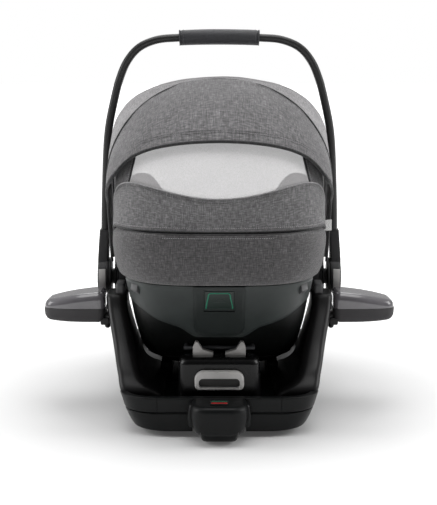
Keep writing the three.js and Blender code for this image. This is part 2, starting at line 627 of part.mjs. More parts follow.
// Dock for the carrier: a block with a sprung slider that carries two hooks, and a cup pull on its front.
function addDock() {
  const block = loft([
    levelRing(TRAY_Z + GAP, -70, 70, BLOCK.y0, BLOCK.y1 + 6, 8),
    levelRing(70, -68, 68, BLOCK.y0, BLOCK.y1 + 2, 8),
    levelRing(118, -BLOCK.x, BLOCK.x, BLOCK.y0, BLOCK.y1, 8),
    levelRing(BLOCK.z1, -BLOCK.x + 4, BLOCK.x - 4, BLOCK.y0 + 3, BLOCK.y1 - 4, 6),
  ]);
  const cavity = box(-50, 50, BLOCK.y0 + 6, BLOCK.y1 - 6, 74, 118);
  const mouth = box(-28, 28, BLOCK.y0 - 5, BLOCK.y0 + 10, 78, 100);
  const slots = [-1, 1].map((side) => box(side * 27.5 - 19, side * 27.5 + 19, -253.5, -223.5, 110, 130));
  add("dock_block", cut(block, cavity, mouth, ...slots), BASE_BLACK);

  const fin = (side) => {
    const shape = [[10, 112], [44, 112], [44, 136], [40, 146], [36, 146], [28, 133], [10, 127.5]];
    return extrudeY(shape.map(([x, z]) => [x * side, z]), -240, -225);
  };
  const slider = join(box(-45, 45, -240, -225, 79, 117), box(-26, 26, -261.6, -239, 80, 98));
  add("latch_hooks", join(slider, fin(1), fin(-1)), GREY);

  const grip = loft([
    levelRing(72, -38, 38, -273, BLOCK.y0 - GAP, 4),
    levelRing(76, -41, 41, -276, BLOCK.y0 - GAP, 5),
    levelRing(100, -41, 41, -276, BLOCK.y0 - GAP, 5),
    levelRing(104, -38, 38, -273, BLOCK.y0 - GAP, 4),
  ]);
  const cup = extrudeY(roundedRect(-34, 76, 34, 92, 5), -280, -266.5);
  add("release_handle", cut(grip, cup), GREY);
}

// Arms that rise beside the carrier, each with a hinged wing and the wing's catch.
const WING = { y0: -130, y1: -50, x0: 199.5, seam: 180, bottom: 155 };
function wingBody(from, to) {
  const rings = [0, 0.08, 0.35, 0.65, 0.85, 0.95, 1].map((share) => {
    const x = lerp(WING.x0, WING_TIP_X, share);
    const half = ((WING.y1 - WING.y0) / 2) * (1 - 0.42 * share ** 5);
    const middle = (WING.y0 + WING.y1) / 2;
    const [z0, z1] = [from(share), to(share)];
    return standingRing(x, middle - half, middle + half, z0, z1, Math.min(5, (z1 - z0) * 0.4));
  });
  return loft(rings);
}
function addArms() {
  const rings = [
    [RIM_Z + GAP, 136, 167, -262, -70],
    [100, 143, 174, -225, -68],
    [140, 148, 184, -180, -64],
    [180, 158.5, 194, -145, -60],
    [200, 161, 197, -131, -58],
    [205, 163, 195, -127, -61],
  ].map(([z, x0, x1, y0, y1]) => levelRing(z, x0, x1, y0, y1, 9));
  const clear = box(188.5, 206, -131, -49, WING_AXIS.z - 9, WING_AXIS.z + 9);
  const barrel = join(
    rodY(5, -105, -75, WING_AXIS.x, WING_AXIS.z),
    box(180, WING_AXIS.x, -105, -75, WING_AXIS.z - 4, WING_AXIS.z + 4),
  );
  const pocket = box(164.5, 181.5, -118.5, -69.5, 197.5, 210);
  addPair("side_arm", cut(join(cut(loft(rings), clear), barrel), pocket), BASE_BLACK);

  const knuckles = [[-127, -106], [-74, -53]].flatMap(([y0, y1]) => [
    rodY(5, y0, y1, WING_AXIS.x, WING_AXIS.z),
    extrudeY([[195, 148], [207, 156], [207, 165], [200, 165], [192, 153.5]], y0, y1),
  ]);
  const lower = join(wingBody((s) => WING.bottom + 4 * s ** 3, () => WING.seam - GAP), ...knuckles);
  addPair("wing_body", lower, SOFT_GREY);
  const upper = wingBody(() => WING.seam, (s) => lerp(208, 192, s ** 1.6));
  addPair("wing_top", upper, GLOSS);

  const press = loft([
    levelRing(201.5, 165, 181, -118, -70, 4),
    levelRing(218, 165, 181, -118, -70, 4),
    levelRing(222, 167, 179, -115, -73, 3),
  ]);
  addPair("wing_latch", press, GREY);
}

// An ISOFIX arm: a bar that slides in the base, with a jaw that closes on a vehicle's anchor bar.
function addIsofix() {
  const bar = box(ISOFIX_X - 4, ISOFIX_X + 4, 160, 310, 22, 38);
  const jawBody = loft([
    levelRing(14, 128, 152, 302, SEAT_END, 3),
    levelRing(17, 126, 154, 300, SEAT_END, 4),
    levelRing(43, 126, 154, 300, SEAT_END, 4),
    levelRing(46, 128, 152, 302, SEAT_END, 3),
  ]);
  const jaw = extrudeX([[366, 21], [366, 39], [358, 34.5], [338, 34.5], [338, 25.5], [358, 25.5]], 120, 160);
  const pocket = box(132.5, 147.5, 309.5, 332.5, 38, 50);
  addPair("isofix_arm", cut(join(bar, jawBody), jaw, pocket), STEEL);
  addPair("isofix_button", box(133, 147, 310, 332, 42, 48.5), RED);
}

// The folding support leg: a knuckle with an outer tube, and an inner tube with the foot.
function addLeg() {
  const knuckle = rodX(26, -30, 30, LEG_AXIS.y, LEG_AXIS.z, 32);
  const tube = box(-17, 17, LEG_AXIS.y, 20, 16, 36);
  const collar = extrudeX(roundedRect(-26, 11, 20, 39, 3), -21, 21);
  const bore = box(-14, 14, -290, 30, 19, 33);
  const pocket = box(-9.5, 9.5, -15.5, 10.5, 8, 15.4);
  add("leg_outer", cut(join(knuckle, tube, collar), bore, pocket), SOFT_GREY);
  add("leg_button", box(-9, 9, -15, 10, 8.6, 13), GREY);

  const foot = loft([
    [31.5, 28, 14, 37],
    [40, 36, 8, 42],
    [60, 40, 5, 45],
    [70, 40, 5, 45],
  ].map(([y, w, z0, z1]) => roundedCorners(-w, w, z0, z1, 5).map(([x, z]) => point(x, y, z))));
  add("leg_inner", join(foot, box(-13.5, 13.5, -280, 40, 19.5, 32.5)), SOFT_GREY);
}

addBucket();
addSkirt();
addHeadSupport();
addHarness();
addRelease();
addBeltGuides();
addHubs();
addHandle();
addCanopy();
addBaseShells();
addNose();
addDock();
addArms();
addIsofix();
addLeg();

export default seat;
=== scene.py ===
"""Looks of the infant car seat on its base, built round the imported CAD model.

Shapes are worked out in millimetres in the row frame: +Z up, the child's head at -Y, the vehicle's seat back
at +Y. Meshes are made in metres. Every piece stands where its CAD node is.
"""
import math

import bpy
import numpy as np
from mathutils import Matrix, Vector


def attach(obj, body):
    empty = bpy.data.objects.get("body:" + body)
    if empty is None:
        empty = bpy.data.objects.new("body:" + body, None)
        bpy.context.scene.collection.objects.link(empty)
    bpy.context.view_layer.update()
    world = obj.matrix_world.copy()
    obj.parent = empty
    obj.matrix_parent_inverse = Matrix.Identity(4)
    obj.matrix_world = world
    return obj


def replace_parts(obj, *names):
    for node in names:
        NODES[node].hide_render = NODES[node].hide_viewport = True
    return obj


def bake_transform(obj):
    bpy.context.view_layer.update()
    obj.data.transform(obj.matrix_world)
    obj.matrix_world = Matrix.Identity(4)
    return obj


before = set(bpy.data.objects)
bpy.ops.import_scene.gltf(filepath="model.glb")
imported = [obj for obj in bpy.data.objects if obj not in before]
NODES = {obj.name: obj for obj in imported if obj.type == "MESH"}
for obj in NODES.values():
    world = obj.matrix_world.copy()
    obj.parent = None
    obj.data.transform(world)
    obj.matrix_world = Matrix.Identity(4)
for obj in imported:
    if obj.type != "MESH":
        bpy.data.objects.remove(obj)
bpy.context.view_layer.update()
SIDES = {"right": 1, "left": -1}


# ---- Numbers and curves ----
def smoothstep(x, a, b):
    t = np.clip((np.asarray(x, float) - a) / (b - a), 0, 1)
    return t * t * (3 - 2 * t)


def lerp(a, b, t):
    return a + (b - a) * t


def unit(v):
    return v / np.maximum(np.linalg.norm(v, axis=-1, keepdims=True), 1e-9)


def hermite(p1, p2, v1, v2, t):
    return p1 + v1 * t + (3 * (p2 - p1) - 2 * v1 - v2) * t**2 + (2 * (p1 - p2) + v1 + v2) * t**3


def signed_power(v, power):
    return np.sign(v) * np.abs(v) ** power


def eased(count):
    """Shares from 0 to 1, closer together at both ends."""
    return (1 - np.cos(np.linspace(0, np.pi, count))) / 2


def spline(rows, at):
    """Catmull-Rom curve through rows, at row numbers with fractions."""
    rows, at = np.asarray(rows, float), np.asarray(at, float)
    i = np.clip(np.floor(at).astype(int), 0, len(rows) - 2)
    t = (at - i)[..., None]
    p = [rows[np.clip(i + k, 0, len(rows) - 1)] for k in (-1, 0, 1, 2)]
    return hermite(p[1], p[2], (p[2] - p[0]) / 2, (p[3] - p[1]) / 2, t)


def along(path):
    """Distance from the start at each point of a path."""
    return np.concatenate([[0], np.cumsum(np.linalg.norm(np.diff(path, axis=0), axis=1))])


def pick(path, at):
    """Points of a path at distances from its start."""
    return np.stack([np.interp(at, along(path), column) for column in np.asarray(path).T], -1)


def even(path, count):
    """The path again, with count + 1 points spaced evenly."""
    return pick(path, np.linspace(0, along(path)[-1], count + 1))


def gauss(x, width):
    return np.exp(-((x / width) ** 2))


def ripple(p, size, seed=0):
    """Smooth waves of about that size in mm, between -1 and 1, the same on each run."""
    r = np.random.default_rng(seed)
    total = 0
    for k in range(5):
        way = unit(r.normal(size=3)) * (2 * math.pi / (size * (0.7 + 0.35 * k)))
        total = total + np.sin(p @ way + r.uniform(0, 6.28)) / (1 + 0.5 * k)
    return total / 2.6


# ---- The shapes that the CAD model is built on ----
# At each level of the bucket: X and Z at the side, Y and Z at the head end, Y and Z at the foot end
BOWL_LEVELS = np.array([
    [98, 80, 110, 80, 140, 80],
    [128, 90, 172, 106, 195, 98],
    [143, 138, 232, 153, 248, 132],
    [152, 186, 281, 210, 285, 175],
    [163, 230, 312, 268, 310, 222],
    [172, 254, 325, 333, 320, 258],
], float)
TOP = 5  # the level of the rim
RIM_LENGTH = 325  # from the hubs to the head end
HEAD_POWER, HEAD_HALF = 3.5, 172  # how square the head end is, and its half width
HUB_Z = 216  # height of the axis that the handle and the canopy turn on
CANOPY_R, CANOPY_W = 346, 180  # the canopy's radius and half width


def bowl(level, angle, inset=0.0, lift=0.0):
    """Points of the bucket. Angle 0 is at +X and -90 degrees at the head end."""
    level, angle, inset, lift = np.broadcast_arrays(*(np.asarray(a, float) for a in (level, angle, inset, lift)))
    side_x, side_z, head_y, head_z, foot_y, foot_z = np.moveaxis(spline(BOWL_LEVELS, level), -1, 0)
    c, s = np.cos(angle), np.sin(angle)
    head = s < 0
    power = 2 / np.where(head, HEAD_POWER, 2.6)
    across, length = signed_power(c, power), signed_power(s, power)
    inwards = inset * np.minimum(1, 0.35 + level / 2)
    flare = np.where(head, 1 - 0.07 * length, 1)
    z = side_z + smoothstep(np.abs(length), 0, 0.75) * (np.where(head, head_z, foot_z) - side_z)
    x = (side_x * flare - inwards) * across
    y = (np.where(head, head_y, foot_y) - inwards) * length
    return np.stack([x, y, z + inset * (1 - level / TOP) + lift], -1)


def even_angles(start, stop, count):
    """Angles in degrees that step evenly round the rim, in radians."""
    dense = np.radians(np.linspace(start, stop, 801))
    run = along(bowl(TOP, dense))
    return np.interp(np.linspace(0, run[-1], count + 1), run, dense)


def lap(count):
    """Angles once round the rim, evenly spaced, from the left side past the head end."""
    return np.append(even_angles(-180, 0, count // 2)[:-1], even_angles(0, 180, count // 2))


def arch_table():
    """Share t of the canopy's radius against the distance from the top of the arch."""
    t = 0.045 + (1 - 0.045) * np.sin(np.linspace(np.pi / 2, 0, 3000))
    flat = np.stack([CANOPY_W * np.sqrt(1 - t**9), CANOPY_R * t, 0 * t], 1)
    run = along(flat)
    return run / run[-1], t


ARCH_RUN, ARCH_T = arch_table()


def arch_t(s):
    """Radius share at s, which runs from -1 at the left hub over the top at 0 to 1 at the right hub."""
    return np.interp(np.abs(s), ARCH_RUN, ARCH_T)


def across(s):
    return np.sqrt(np.maximum(0, 1 - arch_t(s) ** 9))


def arch(s, layer, degrees):
    """A point of the canopy's arch on a layer, at an angle from +Y over the top."""
    s, layer, degrees = np.broadcast_arrays(*(np.asarray(a, float) for a in (s, layer, degrees)))
    x = np.sign(s) * (CANOPY_W + layer) * across(s)
    r = arch_t(s) * (CANOPY_R + layer)
    return np.stack([x, r * np.cos(np.radians(degrees)), HUB_Z + r * np.sin(np.radians(degrees))], -1)


def hood_seam(s):
    """Degrees at which the hood meets the visor."""
    return 97 + 28 * across(s) ** 2


def band_top(s):
    """Degrees at which the band starts, under the window and the sides."""
    return 149.2 - 14 * across(s) ** 2


RIM = bowl(TOP, np.linspace(-np.pi / 2, 0, 200))


def over_rim(p, clearance=8.5):
    """How far a point is above the line that the canopy's lower edge follows."""
    return p[..., 2] - np.interp(p[..., 1], RIM[:, 1], RIM[:, 2]) - clearance


def solve(f, low, high, rounds=40):
    """Where f, which falls from low to high, passes zero."""
    low, high = np.broadcast_arrays(np.asarray(low, float), np.asarray(high, float))
    for _ in range(rounds):
        middle = (low + high) / 2
        above = f(middle) > 0
        low, high = np.where(above, middle, low), np.where(above, high, middle)
    return (low + high) / 2


# X and Z of the handle's centreline, from the hub to the middle
HANDLE_HALF = [
    [207, 302.7], [205, 375], [199, 479], [188, 535], [178, 572],
    [164, 604], [143, 628], [112, 641.5], [71, 645.5],
]


def handle_line():
    """Centreline of the handle: a centripetal Catmull-Rom curve, right to left."""
    points = HANDLE_HALF + [[0, 647]] + [[-x, z] for x, z in HANDLE_HALF[::-1]]
    p = np.array([[x, 0, z] for x, z in points], float)
    p = np.vstack([2 * p[0] - p[1], p, 2 * p[-1] - p[-2]])
    out = []
    for i in range(1, len(p) - 2):
        x0, x1, x2, x3 = p[i - 1 : i + 3]
        d0, d1, d2 = (np.linalg.norm(b - a) ** 0.5 for a, b in ((x0, x1), (x1, x2), (x2, x3)))
        v1 = ((x1 - x0) / d0 - (x2 - x0) / (d0 + d1) + (x2 - x1) / d1) * d1
        v2 = ((x2 - x1) / d1 - (x3 - x1) / (d1 + d2) + (x3 - x2) / d2) * d1
        t = np.linspace(0, 1, 24, endpoint=False)[:, None]
        out.append(hermite(x1, x2, v1, v2, t))
    return np.vstack(out + [p[-2:-1]])


# ---- Meshes ----
def linked(name, data):
    """A new object in the scene."""
    obj = bpy.data.objects.new(name, data)
    bpy.context.scene.collection.objects.link(obj)
    return obj


def aim(obj, at, target):
    obj.location = at
    obj.rotation_euler = (Vector(target) - obj.location).to_track_quat("-Z", "Y").to_euler()


class Piece:
    """A mesh made of closed parts, each with its own material, and UVs in metres."""

    def __init__(self, name):
        self.name, self.verts, self.faces, self.marks, self.uvs, self.mats = name, [], [], [], [], []
        self.count = 0

    def add(self, part, mat):
        verts, faces = np.asarray(part[0], float), part[1]
        uv = part[2] if len(part) > 2 else verts[:, :2]
        if mat not in self.mats:
            self.mats.append(mat)
        self.faces += [tuple(i + self.count for i in f) for f in faces]
        self.marks += [self.mats.index(mat)] * len(faces)
        self.verts.append(verts)
        self.uvs.append(np.asarray(uv, float))
        self.count += len(verts)
        return self

    def make(self, sharp=40):
        mesh = bpy.data.meshes.new(self.name)
        mesh.from_pydata((np.vstack(self.verts) / 1000).tolist(), [], self.faces)
        for m in self.mats:
            mesh.materials.append(m)
        mesh.polygons.foreach_set("material_index", self.marks)
        layer = mesh.uv_layers.new(name="UVMap")
        loops = np.zeros(len(mesh.loops), np.int32)
        mesh.loops.foreach_get("vertex_index", loops)
        layer.data.foreach_set("uv", (np.vstack(self.uvs)[loops] / 1000).ravel())
        mesh.polygons.foreach_set("use_smooth", [True] * len(mesh.polygons))
        mesh.set_sharp_from_angle(angle=math.radians(sharp))
        return linked(self.name, mesh)


def place(obj, body, slot, *nodes):
    """Rides on a body and stands for CAD nodes. The slot is not used."""
    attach(obj, body)
    if nodes:
        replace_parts(obj, *nodes)
    return obj


def fold(obj, node):
    """Cloth between the rim and the middle bow: bakes its place into its mesh and stands for a CAD node."""
    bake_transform(obj)
    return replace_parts(obj, node)


def grid_faces(nu, nv, start=0, flip=False, wrap=False):
    i, j = np.meshgrid(np.arange(nu if wrap else nu - 1), np.arange(nv - 1), indexing="ij")
    a, b = i * nv + j, (i + 1) % nu * nv + j
    quads = np.stack([a, b, b + 1, a + 1], -1).reshape(-1, 4) + start
    return (quads[:, ::-1] if flip else quads).tolist()


def grid_normals(p):
    return unit(np.cross(np.gradient(p, axis=0), np.gradient(p, axis=1)))


def sheet(mid, thick, roll=4):
    """A closed sheet round a grid of points: thick in mm, round along its edges."""
    nu, nv = mid.shape[:2]
    half = np.broadcast_to(np.asarray(thick, float) / 2, (nu, nv))
    n = grid_normals(mid)
    ring = [(i, 0) for i in range(nu)] + [(nu - 1, j) for j in range(1, nv)]
    ring += [(i, nv - 1) for i in range(nu - 2, -1, -1)] + [(0, j) for j in range(nv - 2, 0, -1)]
    i, j = np.array(ring).T
    edge = mid[i, j]
    out = unit(edge - mid[np.clip(i, 1, nu - 2), np.clip(j, 1, nv - 2)])
    out = unit(out - (out * n[i, j]).sum(-1, keepdims=True) * n[i, j])
    h = half[i, j][:, None]
    parts = [(mid + n * half[..., None]).reshape(-1, 3), (mid - n * half[..., None]).reshape(-1, 3)]
    for k in range(1, roll):
        a = math.pi * k / roll
        parts.append(edge + n[i, j] * h * math.cos(a) + out * h * math.sin(a))
    flat = i * nv + j
    loops = [flat] + [2 * nu * nv + k * len(flat) + np.arange(len(flat)) for k in range(roll - 1)] + [flat + nu * nv]
    faces = grid_faces(nu, nv) + grid_faces(nu, nv, nu * nv, True)
    for a, b in zip(loops[:-1], loops[1:]):
        faces += np.stack([a, b, np.roll(b, -1), np.roll(a, -1)], -1).tolist()
    u = np.linalg.norm(np.diff(mid, axis=0), axis=2).mean(1)
    v = np.linalg.norm(np.diff(mid, axis=1), axis=2).mean(0)
    uv = np.stack(np.meshgrid(np.append(0, np.cumsum(u)), np.append(0, np.cumsum(v)), indexing="ij"), -1)
    flat_uv = uv.reshape(-1, 2)
    return np.vstack(parts), faces, np.vstack([flat_uv, flat_uv] + [flat_uv[flat]] * (roll - 1))


def loft(rings, closed_ends=True):
    """A closed body through rings of points, with UVs along and round it."""
    rings = np.asarray(rings, float)
    nr, n = rings.shape[:2]
    faces = []
    for k in range(nr - 1):
        a = k * n + np.arange(n)
        faces += np.stack([a, np.roll(a, -1), np.roll(a, -1) + n, a + n], -1).tolist()
    if closed_ends:
        faces += [list(range(n))[::-1], list(range((nr - 1) * n, nr * n))]
    verts = rings.reshape(-1, 3)
    step = np.linalg.norm(np.diff(rings.mean(1), axis=0), axis=1)
    lap = np.linalg.norm(np.roll(rings, -1, 1) - rings, axis=2).mean(0)
    uv = np.stack(np.meshgrid(np.append(0, np.cumsum(step)), np.append(0, np.cumsum(lap)[:-1]), indexing="ij"), -1)
    sample = np.array([verts[f[:3]] for f in faces[: min(len(faces), 4000)]])
    cross = np.cross(sample[:, 1] - sample[:, 0], sample[:, 2] - sample[:, 0])
    if (sample[:, 0] * cross).sum() - (verts.mean(0) * cross).sum() < 0:
        faces = [f[::-1] for f in faces]
    return verts, faces, uv.reshape(-1, 2)


def rounded(a0, a1, b0, b1, low, high=None, n=6):
    """Corners of a rounded rectangle as (a, b), with one radius at its low corners and one at its high ones."""
    high = low if high is None else high
    out = []
    for ca, cb, r, start in ((a1, b0, low, -90), (a1, b1, high, 0), (a0, b1, high, 90), (a0, b0, low, 180)):
        r = max(0.05, min(r, (a1 - a0) / 2 - 0.01, (b1 - b0) / 2 - 0.01))
        t = np.radians(np.linspace(start, start + 90, n + 1))
        ca, cb = ca - math.copysign(r, ca - (a0 + a1) / 2), cb - math.copysign(r, cb - (b0 + b1) / 2)
        out.append(np.stack([ca + r * np.cos(t), cb + r * np.sin(t)], 1))
    return np.vstack(out)


def box_loft(rows, axis, edge=1.2, count=20, n=6):
    """A body through rounded rectangles, round at both ends. Rows are [place, a0, a1, b0, b1, low radius, high radius],
    where a and b are the two other axes in order."""
    rows = np.array([r if len(r) == 7 else [*r, r[-1]] for r in rows], float)
    dense = spline(rows, np.linspace(0, len(rows) - 1, 200)) if len(rows) > 2 else rows
    start, stop = rows[0, 0], rows[-1, 0]
    turn = np.radians([90, 60, 30, 0])
    ends = [(start + edge * (1 - math.sin(t)), edge * (1 - math.cos(t))) for t in turn]
    middle = [(p, 0) for p in np.linspace(start + edge, stop - edge, count)[1:-1]]
    rings = []
    for p, inset in [*ends, *middle, *[(start + stop - p, i) for p, i in ends[::-1]]]:
        a0, a1, b0, b1, low, high = (np.interp(p, dense[:, 0], dense[:, k]) for k in range(1, 7))
        ab = rounded(a0 + inset, a1 - inset, b0 + inset, b1 - inset, low - inset * 0.4, high - inset * 0.4, n)
        rings.append(np.insert(ab, "xyz".index(axis), p, axis=1))
    return loft(rings)


def slab(axis, low, high, section, edge=1.2, count=20, n=6):
    """A body with one rounded rectangle, (a0, a1, b0, b1, low radius[, high radius]), from low to high on an axis."""
    return box_loft([[low, *section], [high, *section]], axis, edge, count, n)


def tube(path, radius, sides=10, squash=1.0, up=None):
    """A round or oval rod along a path, with rounded ends."""
    path = np.asarray(path, float)
    way = unit(np.gradient(path, axis=0))
    side = np.zeros_like(path)
    last = np.array([0.0, 0, 1]) if up is None else np.asarray(up, float)
    if abs(way[0] @ unit(last)) > 0.95:
        last = np.array([1.0, 0, 0])
    for k, w in enumerate(way):
        last = unit(last - (last @ w) * w)
        side[k] = last
    other = np.cross(way, side)
    a = np.linspace(0, 2 * np.pi, sides, endpoint=False)
    r = np.broadcast_to(np.asarray(radius, float), len(path))[:, None, None]
    body = side[:, None] * np.cos(a)[:, None] * squash + other[:, None] * np.sin(a)[:, None]
    rings = list(path[:, None] + body * r)
    for end, sign in ((0, -1), (-1, 1)):
        tip = sign * way[end] * squash * 0.9
        caps = [path[end] + r[end] * (tip * math.sin(t) + body[end] * math.cos(t)) for t in (0.6, 1.1, 1.45)]
        rings = caps[::-1] + rings if end == 0 else rings + caps
    return loft(rings)


def stitches(path, normals, pitch=3.6, length=2.5, radius=0.42):
    """A row of thread stitches along a path on a surface."""
    path, normals = np.asarray(path, float), np.broadcast_to(np.asarray(normals, float), np.shape(path))
    run = along(path)
    count = max(2, int(run[-1] / pitch))
    at = (np.arange(count) + 0.5) * run[-1] / count
    middle = pick(path, at)
    up = unit(np.stack([np.interp(at, run, column) for column in normals.T], 1))
    way = unit(pick(path, at + 0.5) - pick(path, at - 0.5))
    side = np.cross(way, up)
    a = np.linspace(0, 2 * np.pi, 5, endpoint=False)
    ring = side[:, None] * np.cos(a)[:, None] + up[:, None] * np.sin(a)[:, None]
    rings = []
    for t, r, sink in ((-0.5, 0.3, -0.5), (-0.25, 0.95, 0.1), (0.25, 0.95, 0.1), (0.5, 0.3, -0.5)):
        rings.append((middle + way * t * length + up * radius * sink)[:, None] + radius * r * ring)
    steps = [(5 * k + i, 5 * k + (i + 1) % 5) for k in range(3) for i in range(5)]
    around = [[i, j, j + 5, i + 5] for i, j in steps]
    one = [f[::-1] for f in around + [[4, 3, 2, 1, 0], [15, 16, 17, 18, 19]]]
    faces = [[20 * k + i for i in f] for k in range(count) for f in one]
    return np.stack(rings, 1).reshape(-1, 3), faces


def apply_modifiers(obj):
    dg = bpy.context.evaluated_depsgraph_get()
    mesh = bpy.data.meshes.new_from_object(obj.evaluated_get(dg), depsgraph=dg)
    obj.modifiers.clear()
    obj.data = mesh
    mesh.polygons.foreach_set("use_smooth", [True] * len(mesh.polygons))


def carve(obj, *cutters, operation="DIFFERENCE"):
    """Cuts closed bodies out of an object, and keeps its own materials."""
    for part in cutters:
        tool = Piece("tool").add(part, obj.data.materials[0]).make()
        mod = obj.modifiers.new("cut", "BOOLEAN")
        mod.operation, mod.solver, mod.object = operation, "EXACT", tool
        apply_modifiers(obj)
        bpy.data.objects.remove(tool)
    obj.data.set_sharp_from_angle(angle=math.radians(35))
    return obj


def pair(s, near, far):
    """The two ends of a span on side s, lower first."""
    return sorted((s * near, s * far))


def block(x0, x1, y0, y1, z0, z1):
    return slab("z", z0, z1, (x0, x1, y0, y1, 0.3), 0.05, 3, 1)


# ---- Materials ----
class Nodes:
    """A material's node tree, with short ways to add nodes."""

    def __init__(self, name="", rough=0.5, metal=0.0, tree=None, **sockets):
        self.tree = tree
        if not tree:
            self.mat = bpy.data.materials.new(name)
            self.mat.use_nodes = True
            self.tree = self.mat.node_tree
            self.shader = self.tree.nodes["Principled BSDF"]
            for key, value in {"Roughness": rough, "Metallic": metal, **sockets}.items():
                self.shader.inputs[key].default_value = value

    def add(self, kind, inputs=None, **settings):
        node = self.tree.nodes.new("ShaderNode" + kind)
        for key, value in settings.items():
            setattr(node, key, value)
        for key, value in (inputs or {}).items():
            if isinstance(value, bpy.types.NodeSocket):
                self.tree.links.new(value, node.inputs[key])
            else:
                node.inputs[key].default_value = value
        return node

    def space(self, uv, scale=(1, 1, 1)):
        coords = self.add("TexCoord").outputs["UV" if uv else "Object"]
        return self.add("Mapping", {"Vector": coords, "Scale": scale}).outputs[0]

    def noise(self, vector, scale, detail=3.0, roughness=0.55):
        inputs = {"Vector": vector, "Scale": scale, "Detail": detail, "Roughness": roughness}
        return self.add("TexNoise", inputs).outputs[0]

    def bands(self, vector, scale, way, distortion, detail=2.0):
        inputs = {"Vector": vector, "Scale": scale, "Distortion": distortion, "Detail": detail}
        return self.add("TexWave", inputs, bands_direction=way).outputs["Fac"]

    def cells(self, vector, scale, feature="DISTANCE_TO_EDGE"):
        return self.add("TexVoronoi", {"Vector": vector, "Scale": scale}, feature=feature).outputs[0]

    def ramp(self, fac, *stops):
        node = self.add("ValToRGB", {"Fac": fac})
        for k, (at, colour) in enumerate(stops):
            e = node.color_ramp.elements[k] if k < 2 else node.color_ramp.elements.new(at)
            e.position, e.color = at, (*colour, 1)
        return node.outputs[0]

    def mix(self, fac, a, b, blend="MIX"):
        node = self.add("Mix", data_type="RGBA", blend_type=blend)
        for key, value in ((0, fac), (6, a), (7, b)):
            if isinstance(value, bpy.types.NodeSocket):
                self.tree.links.new(value, node.inputs[key])
            else:
                node.inputs[key].default_value = value if key == 0 else (*value, 1)
        return node.outputs[2]

    def spread(self, value, low, high, to_low, to_high):
        names = ("Value", "From Min", "From Max", "To Min", "To Max")
        return self.add("MapRange", dict(zip(names, (value, low, high, to_low, to_high)))).outputs[0]

    def times(self, a, b):
        return self.mix(1.0, a, b, "MULTIPLY")

    def math(self, kind, a, b):
        return self.add("Math", {0: a, 1: b}, operation=kind).outputs[0]

    def bump(self, height, distance, strength=0.5, normal=None):
        inputs = {"Height": height, "Distance": distance, "Strength": strength}
        if normal is not None:
            inputs["Normal"] = normal
        return self.add("Bump", inputs).outputs[0]

    def end(self, colour, normal=None, rough=None):
        for key, value in (("Base Color", colour), ("Normal", normal), ("Roughness", rough)):
            if value is not None:
                self.tree.links.new(value, self.shader.inputs[key])
        return self.mat


def shade(colour, by):
    return tuple(min(1.0, c * by) for c in colour)


def plastic(name, colour, rough=0.5, grain=700, strength=0.12, wear=1.5, specular=0.4, coat=(0, 0.03)):
    """Moulded plastic: fine grain, slight mottling, uneven gloss and lighter worn edges."""
    n = Nodes(name, rough, **{"Specular IOR Level": specular, "Coat Weight": coat[0], "Coat Roughness": coat[1]})
    at = n.space(False)
    mottle = n.ramp(n.noise(at, 26, 4), (0.3, shade(colour, 0.86)), (0.72, shade(colour, 1.14)))
    edge = n.add("NewGeometry").outputs["Pointiness"]
    worn = n.spread(edge, 0.53, 0.62, 0.0, 0.5)
    worn = n.math("MULTIPLY", worn, n.noise(at, 90, 2))
    colour_out = n.mix(worn, mottle, shade(colour, wear))
    uneven = n.spread(n.noise(at, 14, 5), 0.3, 0.7, rough - 0.06, rough + 0.07)
    return n.end(colour_out, n.bump(n.noise(at, grain, 2), 0.0005, strength), uneven)


def metal(name, colour, rough=0.35, metallic=1.0, way=(1, 1, 14)):
    """Metal or anodised metal with a drawn grain."""
    n = Nodes(name, rough, metallic)
    at = n.space(False, way)
    lines = n.noise(at, 160, 3)
    colour_out = n.ramp(lines, (0.3, shade(colour, 0.85)), (0.7, shade(colour, 1.12)))
    uneven = n.spread(n.noise(n.space(False), 30, 4), 0.3, 0.7, rough - 0.06, rough + 0.08)
    return n.end(colour_out, n.bump(lines, 0.0002, 0.15), uneven)


def cloth(name, colour, uv=True, contrast=0.55, thread=1.25, sheen=0.25, light=2.0, **sockets):
    """Woven melange: crossing threads about thread mm apart, with light and dark slubs along both of them."""
    n = Nodes(name, 0.92, **{"Sheen Weight": sheen, "Sheen Roughness": 0.5, "Specular IOR Level": 0.2, **sockets})
    at = n.space(uv)
    warp = n.noise(n.space(uv, (0.16, 1, 0.6)), 620, 3, 0.65)
    weft = n.noise(n.space(uv, (1, 0.16, 0.6)), 620, 3, 0.65)
    slub = n.math("ADD", n.math("MULTIPLY", warp, 0.5), n.math("MULTIPLY", weft, 0.5))
    dark, bright = shade(colour, 1 - contrast), shade(colour, light)
    fleck = n.ramp(slub, (0.34, dark), (0.66, bright), (0.5, colour))
    patch = n.ramp(n.noise(at, 22, 3), (0.3, (0.9,) * 3), (0.7, (1.08,) * 3))
    wave = 2 * math.pi / (20 * thread / 1000)
    weave = n.math("MULTIPLY", *(n.bands(at, wave, way, 0.6, 1.0) for way in "XY"))
    # Painted shade: darker where the weave is low, in the gaps between threads.
    thread_gap_shade = n.ramp(weave, (0.0, (0.74,) * 3), (0.6, (1.06,) * 3))
    colour_out = n.times(n.times(fleck, patch), thread_gap_shade)
    height = n.math("ADD", weave, n.math("MULTIPLY", slub, 0.8))
    return n.end(colour_out, n.bump(height, 0.0006, 0.55))


